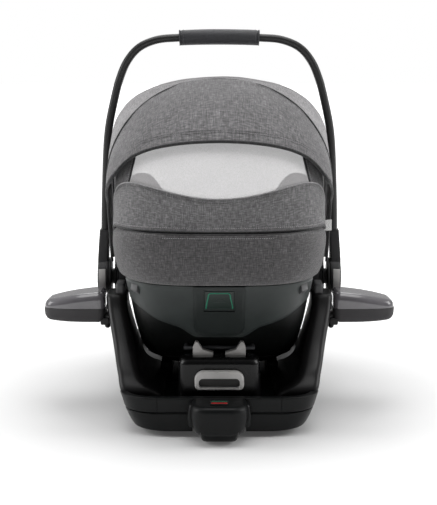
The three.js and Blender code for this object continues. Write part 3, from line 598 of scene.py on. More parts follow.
def leather(name, colour, rough=0.55):
    n = Nodes(name, rough, **{"Specular IOR Level": 0.45, "Sheen Weight": 0.1})
    at = n.space(False)
    grain = n.ramp(n.cells(at, 620), (0.0, (0.0,) * 3), (0.18, (1.0,) * 3))
    folds = n.noise(at, 70, 5)
    top = n.ramp(folds, (0.3, shade(colour, 0.85)), (0.7, shade(colour, 1.25)))
    # Painted shade: darker in the grooves between the grain's pebbles.
    colour_out = n.mix(grain, shade(colour, 0.6), top)
    height = n.math("ADD", grain, n.math("MULTIPLY", folds, 1.5))
    return n.end(colour_out, n.bump(height, 0.0004, 0.5))


def webbing(name, colour):
    """Strap with a herringbone weave."""
    n = Nodes(name, 0.75, **{"Sheen Weight": 0.2, "Specular IOR Level": 0.3})
    at = n.space(True)
    weave = n.math("MULTIPLY", *(n.bands(at, 150.0, way, 0.3) for way in ("DIAGONAL", "X")))
    colour_out = n.ramp(weave, (0.0, shade(colour, 0.6)), (1.0, shade(colour, 1.9)))
    return n.end(colour_out, n.bump(weave, 0.0006, 0.7))


def netting(name, colour):
    """Fine light mesh that can be seen through."""
    n = Nodes(name, 0.85, **{"Alpha": 0.52, "Sheen Weight": 0.3, "Specular IOR Level": 0.2})
    at = n.space(True)
    cells = n.cells(at, 620)
    hole = n.ramp(cells, (0.05, shade(colour, 1.12)), (0.3, shade(colour, 0.86)))
    patch = n.ramp(n.noise(at, 12, 2), (0.3, (0.95,) * 3), (0.7, (1.03,) * 3))
    return n.end(n.times(hole, patch), n.bump(cells, 0.0005, 0.5))


def foam(name, colour):
    n = Nodes(name, 0.9)
    at = n.space(False)
    beads = n.cells(at, 260, "F1")
    # Painted shade: each bead is lighter in its middle and darker towards the joints, where the surface dips.
    return n.end(n.ramp(beads, (0.2, shade(colour, 1.05)), (0.8, shade(colour, 0.8))), n.bump(beads, -0.0008, 0.6))


M = {
    "hood": cloth("hood_cloth", (0.145, 0.141, 0.145), contrast=0.6, light=2.1),
    "visor": cloth("visor_cloth", (0.27, 0.262, 0.268), contrast=0.55, light=1.8),
    "side": cloth("side_cloth", (0.12, 0.117, 0.12), contrast=0.6, light=2.1),
    # Painted shade: the band's cloth made darker for the skirt, for the shade under the hood.
    "skirt": cloth("skirt_cloth_painted_shade", (0.084, 0.081, 0.083), contrast=0.6, light=2.1),
    "band": cloth("band_cloth", (0.135, 0.132, 0.135), contrast=0.6, light=2.1),
    "lining": cloth("lining_knit", (0.2, 0.197, 0.203), uv=False, contrast=0.35, thread=1.7, light=1.5),
    "insert": cloth("insert_knit", (0.3, 0.296, 0.3), uv=False, contrast=0.3, thread=1.9, light=1.4),
    "pad": cloth("pad_knit", (0.12, 0.118, 0.122), uv=False, contrast=0.35, thread=1.5, light=1.6),
    "piping": cloth("piping_cloth", (0.03, 0.03, 0.031), uv=False, contrast=0.4, thread=1.0, light=1.6),
    "binding": cloth("light_binding", (0.3, 0.295, 0.3), uv=False, contrast=0.3, thread=1.0, light=1.4),
    "thread": cloth("thread_dark", (0.06, 0.06, 0.062), uv=False, contrast=0.3, thread=0.8, light=1.5),
    "light_thread": cloth("thread_light", (0.42, 0.41, 0.42), uv=False, contrast=0.3, thread=0.8, light=1.3),
    "net": netting("window_net", (0.46, 0.45, 0.455)),
    "webbing": webbing("strap_webbing", (0.02, 0.02, 0.022)),
    "leather": leather("grip_leather", (0.022, 0.022, 0.026)),
    "foam": foam("foam_beads", (0.8, 0.78, 0.74)),
    "shell": plastic("shell_plastic", (0.026, 0.031, 0.03), 0.46, 900, 0.15, specular=0.32),
    # Painted shade: the shell's plastic made far darker for the lower shell, which lies in shade; the apron keeps the
    # lighter tone.
    "shaded_shell": plastic("shell_painted_shade", (0.003, 0.0034, 0.0033), 0.42, 900, 0.15, specular=0.14),
    "panel": plastic("lever_plastic", (0.014, 0.022, 0.019), 0.32, 500, 0.05),
    "green": plastic("green_line", (0.01, 0.16, 0.09), 0.4, 500, 0.05),
    "hub": plastic("hub_plastic", (0.018, 0.018, 0.019), 0.5),
    "paint": metal("handle_paint", (0.02, 0.02, 0.02), 0.42, 0.4, (1, 1, 6)),
    "base": plastic("base_plastic", (0.0035, 0.004, 0.0042), 0.36, 900, 0.12, 2.6, specular=0.19),
    "arm": plastic("arm_plastic", (0.0055, 0.0052, 0.0056), 0.34, 900, 0.1, 2.2, specular=0.26),
    # Painted light: the wing's top cover is the body's plastic made lighter for the light and reflections on its top.
    "gloss": plastic("wing_gloss", (0.12, 0.114, 0.124), 0.16, 500, 0.02, 1.3, coat=(0.6, 0.08)),
    "gloss_base": plastic("dock_plastic", (0.0032, 0.0032, 0.0034), 0.26, 700, 0.04, 2, 0.2, (0.08, 0.12)),
    # Painted shade: the dark back of the dock cup's recess.
    "shadow": plastic("cup_painted_shade", (0.035, 0.034, 0.033), 0.5, 700, 0.08, 1.2),
    "matt": plastic("wing_matt", (0.036, 0.034, 0.036), 0.62, 900, 0.2),
    "cup": plastic("cup_plastic", (0.5, 0.49, 0.48), 0.36, 700, 0.06, 1.1),
    "dark_grey": plastic("catch_plastic", (0.06, 0.06, 0.062), 0.42, 700, 0.08, 1.4),
    # Partly painted shade: the shell's plastic darkened half way towards the shaded shell, as the chin's lower part
    # lies in shade.
    "chin": plastic("chin_plastic_half_shaded", (0.015, 0.0185, 0.0178), 0.42, 900, 0.12, specular=0.28),
    "grey": plastic("grey_plastic", (0.36, 0.35, 0.34), 0.42, 700, 0.08, 1.15),
    "red": plastic("red_plastic", (0.42, 0.02, 0.018), 0.35, 500, 0.05, 1.3),
    "leg": metal("leg_paint", (0.045, 0.046, 0.05), 0.45, 0.5, (1, 1, 8)),
    "steel": metal("steel", (0.5, 0.51, 0.52), 0.3),
    "rubber": plastic("rubber", (0.012, 0.012, 0.012), 0.85, 300, 0.3, 1.6, specular=0.2),
    "label": cloth("label_satin", (0.8, 0.8, 0.79), uv=False, contrast=0.06, thread=0.5, light=1.05),
}

# ---- Canopy ----
CLOTH = 2.4  # thickness of the canopy's cloth
S_END = float(np.interp(-0.11, -ARCH_T, ARCH_RUN))  # the lowest cloth at the flanks
BOWS = (99.5, 60.0)  # where the two bows are, in degrees
SEWN = slice(10, -10)  # no stitches at the hubs


def canopy_cloth(s, degrees, layer, wave=0.8, seed=1, bows=True):
    """The middle surface of cloth on a layer, pushed out a little by the bows and gently uneven."""
    p = arch(s, layer, degrees)
    height = wave * ripple(p, 75, seed) + 0.35 * wave * ripple(p, 26, seed + 1)
    if bows:
        height = height + sum(1.5 * gauss(degrees - bow, 2.2) for bow in BOWS)
    fade = smoothstep(arch_t(s) * CANOPY_R, 50, 130)
    return arch(s, layer + height * fade, degrees)


def side_out(line):
    """Outward directions of the canopy's surface along a line on it."""
    x, y, z = (line - [0, 0, HUB_Z]).T
    r = np.maximum(np.hypot(y, z), 1)
    steep = 9 * (np.hypot(y, z) / CANOPY_R) ** 8 / r / CANOPY_R
    return unit(np.stack([2 * x / CANOPY_W**2, steep * y, steep * z], 1))


def sew(piece, s, degrees, layer, thread="thread"):
    """Stitches along a line on the canopy."""
    line = arch(s, layer, degrees)
    piece.add(stitches(line, side_out(line)), M[thread])


def edging(piece, s, degrees, layer, r, sides=8, mat="piping"):
    """A round edge along a line on the canopy."""
    piece.add(tube(arch(s, layer, degrees), r, sides), M[mat])


def make_hood():
    s = np.linspace(-S_END, S_END, 161)
    seam = hood_seam(s)
    drop = 132.6 + 4.0 * gauss(arch_t(s) - 0.8, 0.1)
    rear = drop - (drop - seam - 0.9) * (1 - smoothstep(arch_t(s), 0.5, 0.68)) ** 1.5
    v = np.linspace(0, 1, 30)
    corner = gauss(arch_t(s) - 0.8, 0.07)[:, None] * smoothstep(v, 0.1, 0.7)
    mid = canopy_cloth(s[:, None], lerp(seam[:, None], rear[:, None], v), 13.3 + 3.5 * corner, seed=3)
    hood = Piece("hood_cloth").add(sheet(mid, CLOTH), M["hood"])
    edging(hood, s, rear, 13.2, 2.7, 10)
    for back in (3.0, 3.9):
        sew(hood, s[SEWN], (rear - back)[SEWN], 14.7)
    edging(hood, s, seam + 0.05, 14.0, 1.9)
    sew(hood, s[SEWN], (seam + 1.3)[SEWN], 14.8)
    hood = place(hood.make(), "canopy_mid", "hood_fabric", "canopy_hood")


def make_visor():
    s = np.linspace(-S_END, S_END, 161)
    front, seam = np.full_like(s, 58.4), hood_seam(s) - 0.45
    v = np.linspace(0, 1, 44)
    mid = canopy_cloth(s[:, None], lerp(front[:, None], seam[:, None], v), 13.3, seed=5)
    visor = Piece("visor_cloth").add(sheet(mid, CLOTH), M["visor"])
    edging(visor, s, front, 13.2, 2.5, 10)
    for ahead, layer in ((2.6, 14.9), (6.3, 14.6)):
        sew(visor, s[SEWN], (front + ahead)[SEWN], layer)
    visor = visor.make()
    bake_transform(visor)
    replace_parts(visor, "canopy_visor")


def panel_degrees(s, v):
    return lerp(102.0, band_top(s), v)


def window_edge(v):
    """The window's side at each height. It widens by 40 mm towards the rim."""
    def inside(s):
        p = arch(s, 0, panel_degrees(s, v))
        return 127 + (512 - p[..., 2]) / 182 * 40 - np.abs(p[..., 0])

    return solve(inside, 0 * v, 0 * v + S_END)


def rim_end(v):
    """Where the side panels reach the rim at each height."""
    return solve(lambda s: over_rim(arch(s, -1.2, panel_degrees(s, v))), 0 * v, 0 * v + S_END)


def make_panels():
    v = np.linspace(0, 1, 40)
    edge, low = window_edge(v), rim_end(v)
    u = np.linspace(-1, 1, 90)[:, None]
    net = canopy_cloth(u * (edge - 0.001), panel_degrees(u * edge, v), -1.2, 0.5, 7, False)
    window = Piece("window_net").add(sheet(net, 1.0), M["net"])
    window = fold(window.make(), "canopy_window")

    side, panels = Piece("canopy_sides"), []
    for sign in (1, -1):
        s = sign * lerp(edge, low, np.linspace(0, 1, 40)[:, None])
        panels.append(canopy_cloth(s, panel_degrees(s, v), -1.2, 0.6, 8, False))
        side.add(sheet(panels[-1], CLOTH), M["side"])
        edging(side, sign * edge, panel_degrees(edge, v), 0.1, 1.1)
        s_in = sign * (edge + 0.008)
        sew(side, s_in, panel_degrees(s_in, v), 0.2, "light_thread")
    side = fold(side.make(), "canopy_side")

    end = float(rim_end(np.array([1.0]))[0]) * 0.997
    s = np.linspace(-end, end, 150)
    top = band_top(s) + 0.15
    bottom = solve(lambda d: over_rim(arch(s, -1.2, d)), top, 0 * s + 168)
    mid = canopy_cloth(s[:, None], lerp(top[:, None], bottom[:, None], np.linspace(0, 1, 24)), -1.2, 0.7, 9, False)
    band = Piece("canopy_band_cloth").add(sheet(mid, CLOTH), M["band"])
    edging(band, s[2:-2], (top + 0.1)[2:-2], 0.3, 1.2, mat="binding")
    sew(band, s[6:-6], (top + 1.2)[6:-6], 0.2)
    edging(band, s, bottom, -1.0, 2.0)
    wide = bottom - top > 2.2
    sew(band, s[wide], bottom[wide] - 1.1, 0.2, "light_thread")
    band = fold(band.make(), "canopy_band")


# ---- Skirt round the head end ----
SKIRT_THICK, SKIRT_LIFT = 9, 6  # its padding, and how far its top is above the rim


def rim_length(angle):
    """How far towards an end the rim is, from 0 at the hubs to 1."""
    return np.abs(bowl(TOP, angle)[..., 1]) / RIM_LENGTH


def skirt_low(angle):
    return lerp(4.75, 3.78, smoothstep(rim_length(angle), 0.12, 0.6))


def skirt_point(share, angle, out):
    """A point of the skirt, share of the way up it and out from the bucket."""
    return bowl(lerp(skirt_low(angle), TOP, share), angle, -out, SKIRT_LIFT * share)


def skirt_bulge(share, angle):
    thick = SKIRT_THICK * smoothstep(rim_length(angle), 0.02, 0.3) * 0.4 + SKIRT_THICK * 0.6
    return 2.0 + (thick - 1.6) * np.sin(np.pi * np.clip(share, 0, 1)) ** 0.35


def make_skirt():
    angles = even_angles(-176.8, -3.2, 150)[:, None]
    share = eased(26)
    out = skirt_bulge(share, angles)
    base = skirt_point(share, angles, out)
    arch_over = np.sin(np.pi * share)
    corners = smoothstep(rim_length(angles), 0.45, 0.7) * smoothstep(np.abs(base[..., 0]), 60, 150)
    out = out + 4.5 * corners * arch_over**0.6
    out = out + (0.9 * ripple(base, 90, 11) + 0.3 * ripple(base, 30, 12)) * arch_over
    outer, inner = skirt_point(share, angles, out), skirt_point(share, angles, 0.2)
    skirt = Piece("rim_skirt").add(loft(np.concatenate([outer, inner[:, ::-1]], 1)), M["skirt"])
    a = angles[2:-2, 0]
    for at, mat in ((0.9, "light_thread"), (0.12, "thread")):
        line = skirt_point(at, a, skirt_bulge(at, a) + 0.1)
        ahead = skirt_point(at, a, skirt_bulge(at, a) + 4)
        skirt.add(stitches(line, unit(ahead - line)), M[mat])
    for at, out, r in ((0.99, 3.4, 1.5), (0.015, 2.0, 1.7)):
        skirt.add(tube(skirt_point(at, a, out), r, 8), M["piping"])
    skirt = place(skirt.make(), "carrier", "side_fabric", "seat_skirt")


# ---- Bucket ----
def bucket(outer, inner, top=TOP, count=144, levels=34):
    """A closed wall that follows the bucket, between two distances in from the shell's outside."""
    angles = lap(count)[:-1]
    steps = np.linspace(0, 1, levels) ** 0.9 * top
    return loft([bowl(k, angles, outer) for k in steps] + [bowl(k, angles, inner) for k in steps[::-1]])


def make_shell():
    # The bucket takes the painted-shade copy of the shell plastic.
    shell = Piece("shell_moulding").add(bucket(0, 4), M["shaded_shell"])
    around = lap(180)
    for level, out, r in ((4.93, 1.0, 2.6), (0.9, 0.3, 1.2)):
        shell.add(tube(bowl(level, around, -out), r, 8), M["shaded_shell"])
    return place(shell.make(), "carrier", "shell_plastic", "carrier_shell")


def make_apron():
    """Raised panel over the head end of the shell, which reaches lower in its middle."""
    angles = even_angles(-150, -30, 120)
    x = np.abs(bowl(3, angles)[:, 0])
    low = np.interp(x, [0, 48, 60, 108, 150], [2.02, 2.02, 2.34, 2.62, 3.1])
    low = np.convolve(np.pad(low, 3, "edge"), np.ones(7) / 7, "valid")
    share = eased(22)
    rings = []
    for angle, start in zip(angles, low):
        level = lerp(start, 3.74, share)
        soft = 1.8 * smoothstep(np.abs(share * 2 - 1), 0.86, 1)
        rings.append(np.vstack([bowl(level, angle, soft - 3.4), bowl(level, angle, -0.3)[::-1]]))
    apron = Piece("shell_apron").add(loft(rings), M["shell"])
    place(apron.make(), "carrier", "shell_plastic")


def head_angle(x):
    """The bucket's angle at x on the head end."""
    return -math.acos(min(1, (abs(x) / HEAD_HALF) ** (HEAD_POWER / 2)))


def head_plate(half_width, low, high, near, far, columns=24, levels=16, round_low=0.0, edge=1.6):
    """A plate on the outside of the head end, between two distances from the shell, with soft edges."""
    x = half_width * np.sin(np.linspace(-np.pi / 2, np.pi / 2, columns + 1))
    share = eased(levels)
    rings = []
    for xi in x:
        side = abs(xi) / half_width
        start = low + round_low * (1 - math.sqrt(max(0, 1 - max(0, (side - 0.45) / 0.56) ** 2)))
        level = lerp(start, high, share)
        angle = head_angle(xi)
        soft = edge * np.maximum(smoothstep(np.abs(share * 2 - 1), 0.82, 1), smoothstep(side, 0.88, 1))
        outer, inner = bowl(level, angle, -(far - soft)), bowl(level, angle, -near)
        outer[:, 0] = inner[:, 0] = xi
        rings.append(np.vstack([outer, inner[::-1]]))
    return loft(rings)


def plate_line(xs, levels, out):
    """A line on the outside of the head end, this far off it."""
    line = np.array([bowl(level, head_angle(x), -out) for x, level in zip(xs, levels)])
    line[:, 0] = xs
    return line


def make_release():
    chin = Piece("release_panel").add(head_plate(42, 2.1, 3.74, 0.4, 5.9, 40, 24, 0.4), M["chin"]).make()
    carve(chin, head_plate(25, 2.98, 3.68, 1.6, 14, 14, 6))
    place(chin, "carrier", "shell_plastic", "lever_housing")
    lever = Piece("release_flap").add(head_plate(23.4, 3.06, 3.61, 2.6, 5.9, 16, 14, 0, 1.0), M["panel"])
    t = np.linspace(0, 1, 60)
    corner = lambda a, b, c: np.clip((t - a) / (b - a), 0, 1) * c
    lean = 4.0 * (smoothstep(t, 0, 0.32) - smoothstep(t, 0.68, 1))
    xs = (-1 + corner(0.3, 0.7, 2.0)) * (21.5 - lean)
    levels = 3.09 + corner(0.0, 0.33, 0.48) - corner(0.67, 1.0, 0.48)
    lever.add(tube(plate_line(xs, levels, 6.0), 0.95, 8), M["green"])
    for level in (3.3, 3.38):
        lever.add(tube(plate_line(np.linspace(-10, 10, 9), [level] * 9, 5.9), 0.5, 6), M["panel"])
    place(lever.make(), "release_lever", "shell_plastic", "release_lever")


# ---- Handle ----
def handle_rings(line, thick, deep, sides=28, power=0.75):
    """Oval sections along the handle: half sizes across its plane and front to back, power 1 for a true oval."""
    line = np.asarray(line, float)
    way = unit(np.gradient(line, axis=0))
    out = np.stack([way[:, 2], 0 * way[:, 0], -way[:, 0]], 1)
    a = np.linspace(0, 2 * np.pi, sides, endpoint=False)
    c, s = (signed_power(v, power)[:, None] for v in (np.cos(a), np.sin(a)))
    thick, deep = (np.broadcast_to(np.asarray(v, float), len(line))[:, None, None] for v in (thick, deep))
    return line[:, None] + out[:, None] * c * thick + np.array([0, 1, 0]) * s * deep


def make_handle():
    line = even(handle_line(), 220)
    rings = handle_rings(line, 7, 13)
    place(Piece("handle_bar").add(loft(rings), M["paint"]).make(), "handle", "handle_paint", "handle_tube")

    middle, half = along(line)[-1] / 2, 71
    at = middle + half * np.sin(np.linspace(-np.pi / 2, np.pi / 2, 70))
    grip = pick(line, at)
    share = np.abs(at - middle) / half
    swell = 1 - 0.16 * smoothstep(share, 0.9, 1.0) ** 2 + 0.02 * np.cos(share * 2)
    rings = handle_rings(grip, 13.3 * swell, 17.8 * swell, 36, 0.9)
    rings = rings + 0.25 * ripple(rings, 18, 21)[..., None] * unit(rings - grip[:, None])
    sleeve = Piece("grip_sleeve").add(loft(rings), M["leather"])
    for end in (-1, 1):
        for back, r, thick, deep in ((1.2, 1.5, 12.6, 16.8), (7.5, 0.9, 13.0, 17.4)):
            c, ahead = pick(line, middle + end * (half - back) + np.array([0, 1]))
            loop = handle_rings([2 * c - ahead, c, ahead], thick, deep, 36, 0.9)[1]
            sleeve.add(tube(np.vstack([loop, loop[:2]]), r, 6), M["leather"])
    low = grip[3:-3] - [0, 0, 13.0]
    sleeve.add(tube(low, 0.8, 6), M["leather"])
    for y in (-3.2, 3.2):
        sleeve.add(stitches(low + [0, y, 0.1], [0, 0, -1]), M["thread"])
    sleeve = sleeve.make()
    place(sleeve, "handle", "grip_cover", "handle_grip")


# ---- Base ----
def make_base():
    def half_width(z):
        return lerp(140, 158, ((z - 9) / 31) ** 0.7) if z < 40 else lerp(158, 166, (z - 40) / 26)

    def shell(levels, inset, **how):
        """The base's outline, this far in, at each (height, height whose width it takes)."""
        rows = []
        for z, like in levels:
            x = half_width(like) - inset
            rows.append([z, -x, x, inset - 300, 285 - inset, 56 - inset])
        return box_loft(rows, "z", n=14, **how)

    tray = shell([(z, z) for z in (9, 12, 18, 25, 32, 40)], 0, edge=2.4)
    low = Piece("base_tray").add(tray, M["base"]).make()
    doors = [block(s * 140 - 5, s * 140 + 5, 225, 300, 21, 37.5) for s in (1, -1)]
    leg_slot = block(-44, 44, -330, 276, 0, 45)
    carve(low, leg_slot, shell([(12, 12), (25, 25), (43, 40)], 3, edge=0.1), *doors)
    place(low, "base", "base_plastic", "base_lower")

    body = shell([(z, z) for z in (40.6, 48, 56, 66)], 0, edge=2.2, count=12)
    high = Piece("base_body").add(body, M["base"]).make()
    under = shell([(39, 40), (44, 44), (47, 47)], 4, edge=0.1, count=4)
    tray_top = shell([(50, 50), (60, 60), (68, 66)], 12, edge=0.4, count=5)
    part_lines = [block(x - 0.5, x + 0.5, y, y + 4, 39, 67) for x in (-102, 102) for y in (-302.8, 282.8)]
    carve(high, under, tray_top, *part_lines)
    extra = Piece("base_dock_rails")
    for s in (1, -1):
        x = pair(s, 84, 104)
        extra.add(slab("x", *x, (-95, 125, 49, 79.6, 4, 8), 2, 4), M["base"])
        for y in range(-60, 101, 40):
            extra.add(slab("x", x[0] + 3, x[1] - 3, (y - 1.5, y + 1.5, 78.4, 79.9, 0.5), 0.6, 3, 3), M["rubber"])
    rim = [[49.5, -156, 156, 176, 281, 46], [74, -154, 154, 180, 280, 46], [84, -150, 150, 188, 278, 42]]
    extra.add(box_loft(rim, "z", 4, 14, 12), M["base"])
    rear = [[80, -144, 144, 226, 279, 25], [98, -138, 138, 230, 276, 22], [104, -130, 130, 236, 271, 16]]
    extra.add(box_loft(rear, "z", 2.5, 14, 8), M["base"])
    for x in range(-60, 61, 40):
        extra.add(slab("x", x - 13, x + 13, (236, 270, 102.8, 104.3, 0.6), 1.0, 3, 4), M["base"])
    for s in (1, -1):
        for y in (-200, -130, 170):
            extra.add(slab("z", 49.4, 51.2, (s * 132 - 5, s * 132 + 5, y - 5, y + 5, 5), 0.5, 3), M["leg"])
    place(extra.make(), "base", "base_plastic")
    place(high, "base", "base_plastic", "base_upper")

    for name, s in SIDES.items():
        x = pair(s, 104, 128)
        strip = Piece(f"foot_strip_{name}").add(slab("z", 0, 8.6, (*x, -232, 238, 11), 1.2, 4, 8), M["rubber"])
        for y in range(-216, 226, 24):
            strip.add(slab("z", 0.02, 1.2, (x[0] + 3, x[1] - 3, y - 3, y + 3, 2.5), 0.4, 3, 4), M["rubber"])
        place(strip.make(), "base", "rubber", f"rubber_strip_{name}")


def make_nose():
    # height, half width, front, corner radius
    rows = [[z, -x, x, front, -282, r] for z, x, front, r in (
        (16, 35, -358, 18), (24, 40.5, -362, 23), (34, 44.5, -364.5, 27),
        (46, 46.5, -365, 29), (57, 46, -365, 28), (66, 43, -362, 25),
    )]
    nose = Piece("nose_cover").add(box_loft(rows, "z", 5.5, 26, 10), M["base"]).make()
    for s in (1, -1):
        cheek = ((24, 50, -330), (42, 52, -328), (61, 49, -324))
        rows = [[z, *pair(s, 36, x), y, -292, 9] for z, x, y in cheek]
        carve(nose, box_loft(rows, "z", 4, 10), operation="UNION")
    carve(nose, block(-31.5, 31.5, -358, -250, 0, 58), block(-60, 60, -299.7, -250, 0, 90))
    place(nose, "base", "base_plastic", "nose_housing")
    lamp = Piece("leg_signal")
    windows = ((15, -346, -318, 67.2, "gloss_base"), (13, -341, -335.5, 67.9, "red"), (13, -329, -326, 67.8, "green"))
    for x, y0, y1, top, mat in windows:
        lamp.add(slab("z", 66.3, top, (-x, x, y0, y1, 2), 0.4, 3), M[mat])
    place(lamp.make(), "base", "red_part", "leg_indicator")


def make_dock():
    # height, half width, front, back, corner radius
    rows = [[z, -x, x, *rest] for z, x, *rest in (
        (50.4, 70, -262, -206, 14), (70, 69, -262, -210, 15),
        (104, 68, -262, -211, 16), (124, 66, -261.5, -212, 17),
    )]
    dock = Piece("dock_tower").add(box_loft(rows, "z", 11, 26, 10), M["gloss_base"]).make()
    slots = [block(s * 27.5 - 19, s * 27.5 + 19, -253.5, -223.5, 110, 130) for s in (1, -1)]
    carve(dock, block(-50, 50, -256, -218, 74, 118), block(-28, 28, -267, -252, 78, 100), *slots)
    place(dock, "base", "base_plastic", "dock_block")
    rows = [[-276, -40.5, 40.5, 72.5, 103.5, 8, 15], [-262.4, -41, 41, 72, 104, 8, 15.5]]
    cup = Piece("dock_cup").add(box_loft(rows, "y", 2.2, 8, 10), M["cup"]).make()
    carve(cup, slab("y", -282, -266.5, (-34, 34, 76.2, 92, 5, 7), 0.2, 4, 8))
    place(cup, "dock_slider", "grey_button", "release_handle")
    # Painted shade: a dark sheet at the back of the cup's recess, where the recess lies in shade.
    recess = slab("y", -267.1, -266.4, (-33.9, 33.9, 76.3, 91.9, 5, 7), 0.1, 3, 8)
    place(Piece("dock_cup_painted_shade").add(recess, M["shadow"]).make(), "dock_slider", "grey_button")


def make_leg():
    x = np.concatenate([[-30, -29.7, -28.4, -25.5], np.linspace(-21, 21, 12), [25.5, 28.4, 29.7, 30]])
    r = np.concatenate([[17, 19.5, 22.6, 25], np.full(12, 26.0), [25, 22.6, 19.5, 17]])
    a = np.linspace(0, 2 * np.pi, 48, endpoint=False)
    rings = [np.stack([0 * a + xi, -330 + ri * np.cos(a), 28 + ri * np.sin(a)], 1) for xi, ri in zip(x, r)]
    leg = Piece("leg_tube").add(loft(rings), M["base"]).make()
    bar = slab("y", -330, 20, (-17, 17, 16, 36, 4), 1, 10)
    collar = slab("x", -21, 21, (-26, 20, 11, 39, 4), 2, 8)
    carve(leg, bar, operation="UNION")
    carve(leg, collar, operation="UNION")
    carve(leg, block(-14, 14, -290, 30, 19, 33), block(-9.5, 9.5, -15.5, 10.5, 8, 15.4))
    place(leg, "leg", "leg_paint", "leg_outer")


def make_arms():
    # height, inner X, outer X, front, back
    rows = (
        (51, 92, 161.4, -254, -20), (60, 97, 163.8, -256, -24), (67, 105, 166, -255, -30), (74, 118, 168, -250, -40),
        (86, 130, 170.5, -238, -52), (100, 136, 174, -225, -58), (120, 141.5, 179, -200, -62),
        (140, 147.5, 184, -180, -64), (180, 158.5, 194, -145, -60),
        (200, 161, 197, -131, -58), (205, 163, 195, -127, -61),
    )
    for name, s in SIDES.items():
        sides = [[z, *pair(s, x0, x1), y0, y1, 13] for z, x0, x1, y0, y1 in rows]
        arm = Piece(f"arm_{name}").add(box_loft(sides, "z", 1.6, 40, 7), M["arm"]).make()
        barrel = tube([[s * 195, y, 150] for y in (-103, -95, -85, -77)], 5, 16)
        ear = block(*pair(s, 178, 194), -104, -76, 146, 154)
        hinge_room = block(*pair(s, 188.5, 206), -131, -49, 141, 159)
        catch_room = block(*pair(s, 164.5, 181.5), -118.5, -69.5, 197.5, 210)
        carve(arm, hinge_room, catch_room)
        hinge = Piece(f"wing_hinge_{name}").add(barrel, M["arm"]).add(ear, M["arm"])
        place(arm, "base", "base_plastic", f"side_arm_{name}")
        place(hinge.make(), "base", "base_plastic")

        wing = []
        for t in np.linspace(0, 1, 12):
            half = 40 * (1 - 0.42 * t**5)
            bottom, top = 155 + 4 * t**3, lerp(208, 192, t**1.6)
            wing.append([lerp(199.5, 307, t), -90 - half, -90 + half, bottom, top, 10, 13])
        part = box_loft(wing, "x", 11, 34, 10)
        part = (part[0] * [s, 1, 1], [f[::-1] for f in part[1]] if s < 0 else part[1], part[2])
        # The top cover takes the painted-light copy of the wing plastic; the body below takes the matt one.
        above, below = block(-320, 320, -140, -40, 180, 220), block(-320, 320, -140, -40, 150, 179.5)
        cover = carve(Piece(f"wing_cover_{name}").add(part, M["gloss"]).make(), above, operation="INTERSECT")
        place(cover, f"wing_{name}", "wing_gloss", f"wing_top_{name}")
        lower = carve(Piece(f"wing_shell_{name}").add(part, M["matt"]).make(), below, operation="INTERSECT")
        place(lower, f"wing_{name}", "wing_matt", f"wing_body_{name}")
        knuckle = Piece(f"wing_knuckle_{name}")
        for y0, y1 in ((-127, -106), (-74, -53)):
            knuckle.add(tube([[s * 195, y, 150] for y in np.linspace(y0 + 4, y1 - 4, 4)], 5, 16), M["arm"])
            knuckle.add(slab("y", y0, y1, (*pair(s, 192, 207), 151, 163, 3), 1, 4), M["arm"])
        place(knuckle.make(), f"wing_{name}", "wing_matt")
        catch = slab("z", 201.5, 222, (*pair(s, 165, 181), -118, -70, 5), 3, 8)
        catch = Piece(f"wing_catch_{name}").add(catch, M["dark_grey"]).make()
        place(catch, f"wing_latch_{name}", "grey_button", f"wing_latch_{name}")


# ---- Padded pieces inside the bucket ----
def read(items, field):
    out = np.zeros(len(items) * 3, np.float32)
    items.foreach_get(field, out)
    return out.reshape(-1, 3).astype(float)


def coords(obj):
    return read(obj.data.vertices, "co") * 1000


def set_coords(obj, at):
    obj.data.vertices.foreach_set("co", (at / 1000).astype(np.float32).ravel())
    obj.data.update()


def inflate(obj, voxel=5.0, pressure=4.0, cap=6.0, frames=18):
    """Swells a closed body like a cushion, by a short cloth simulation. No point moves further than cap mm."""
    mod = obj.modifiers.new("even", "REMESH")
    mod.mode, mod.voxel_size = "VOXEL", voxel / 1000
    apply_modifiers(obj)
    start = coords(obj)
    scene = bpy.context.scene
    cloth_mod = obj.modifiers.new("swell", "CLOTH")
    how = cloth_mod.settings
    how.quality, how.mass, how.use_pressure, how.uniform_pressure_force = 5, 0.3, True, pressure
    how.tension_stiffness = how.compression_stiffness = 20
    how.bending_stiffness = 2
    how.effector_weights.gravity = 0
    cloth_mod.point_cache.frame_start, cloth_mod.point_cache.frame_end = 1, frames
    for frame_number in range(1, frames + 1):
        scene.frame_set(frame_number)
    apply_modifiers(obj)
    scene.frame_set(1)
    move = coords(obj) - start
    far = np.linalg.norm(move, axis=1, keepdims=True)
    set_coords(obj, start + move * np.minimum(1, cap / np.maximum(far, 1e-6)))
    return obj


def refine(obj, levels=1):
    mod = obj.modifiers.new("smooth", "SUBSURF")
    mod.levels = mod.render_levels = levels
    return obj


def closed_spline(points, count):
    points = np.asarray(points, float)
    rows = np.vstack([points[-1:], points, points[:2]])
    at = 1 + np.linspace(0, len(points), count, endpoint=False)
    return spline(rows, at)


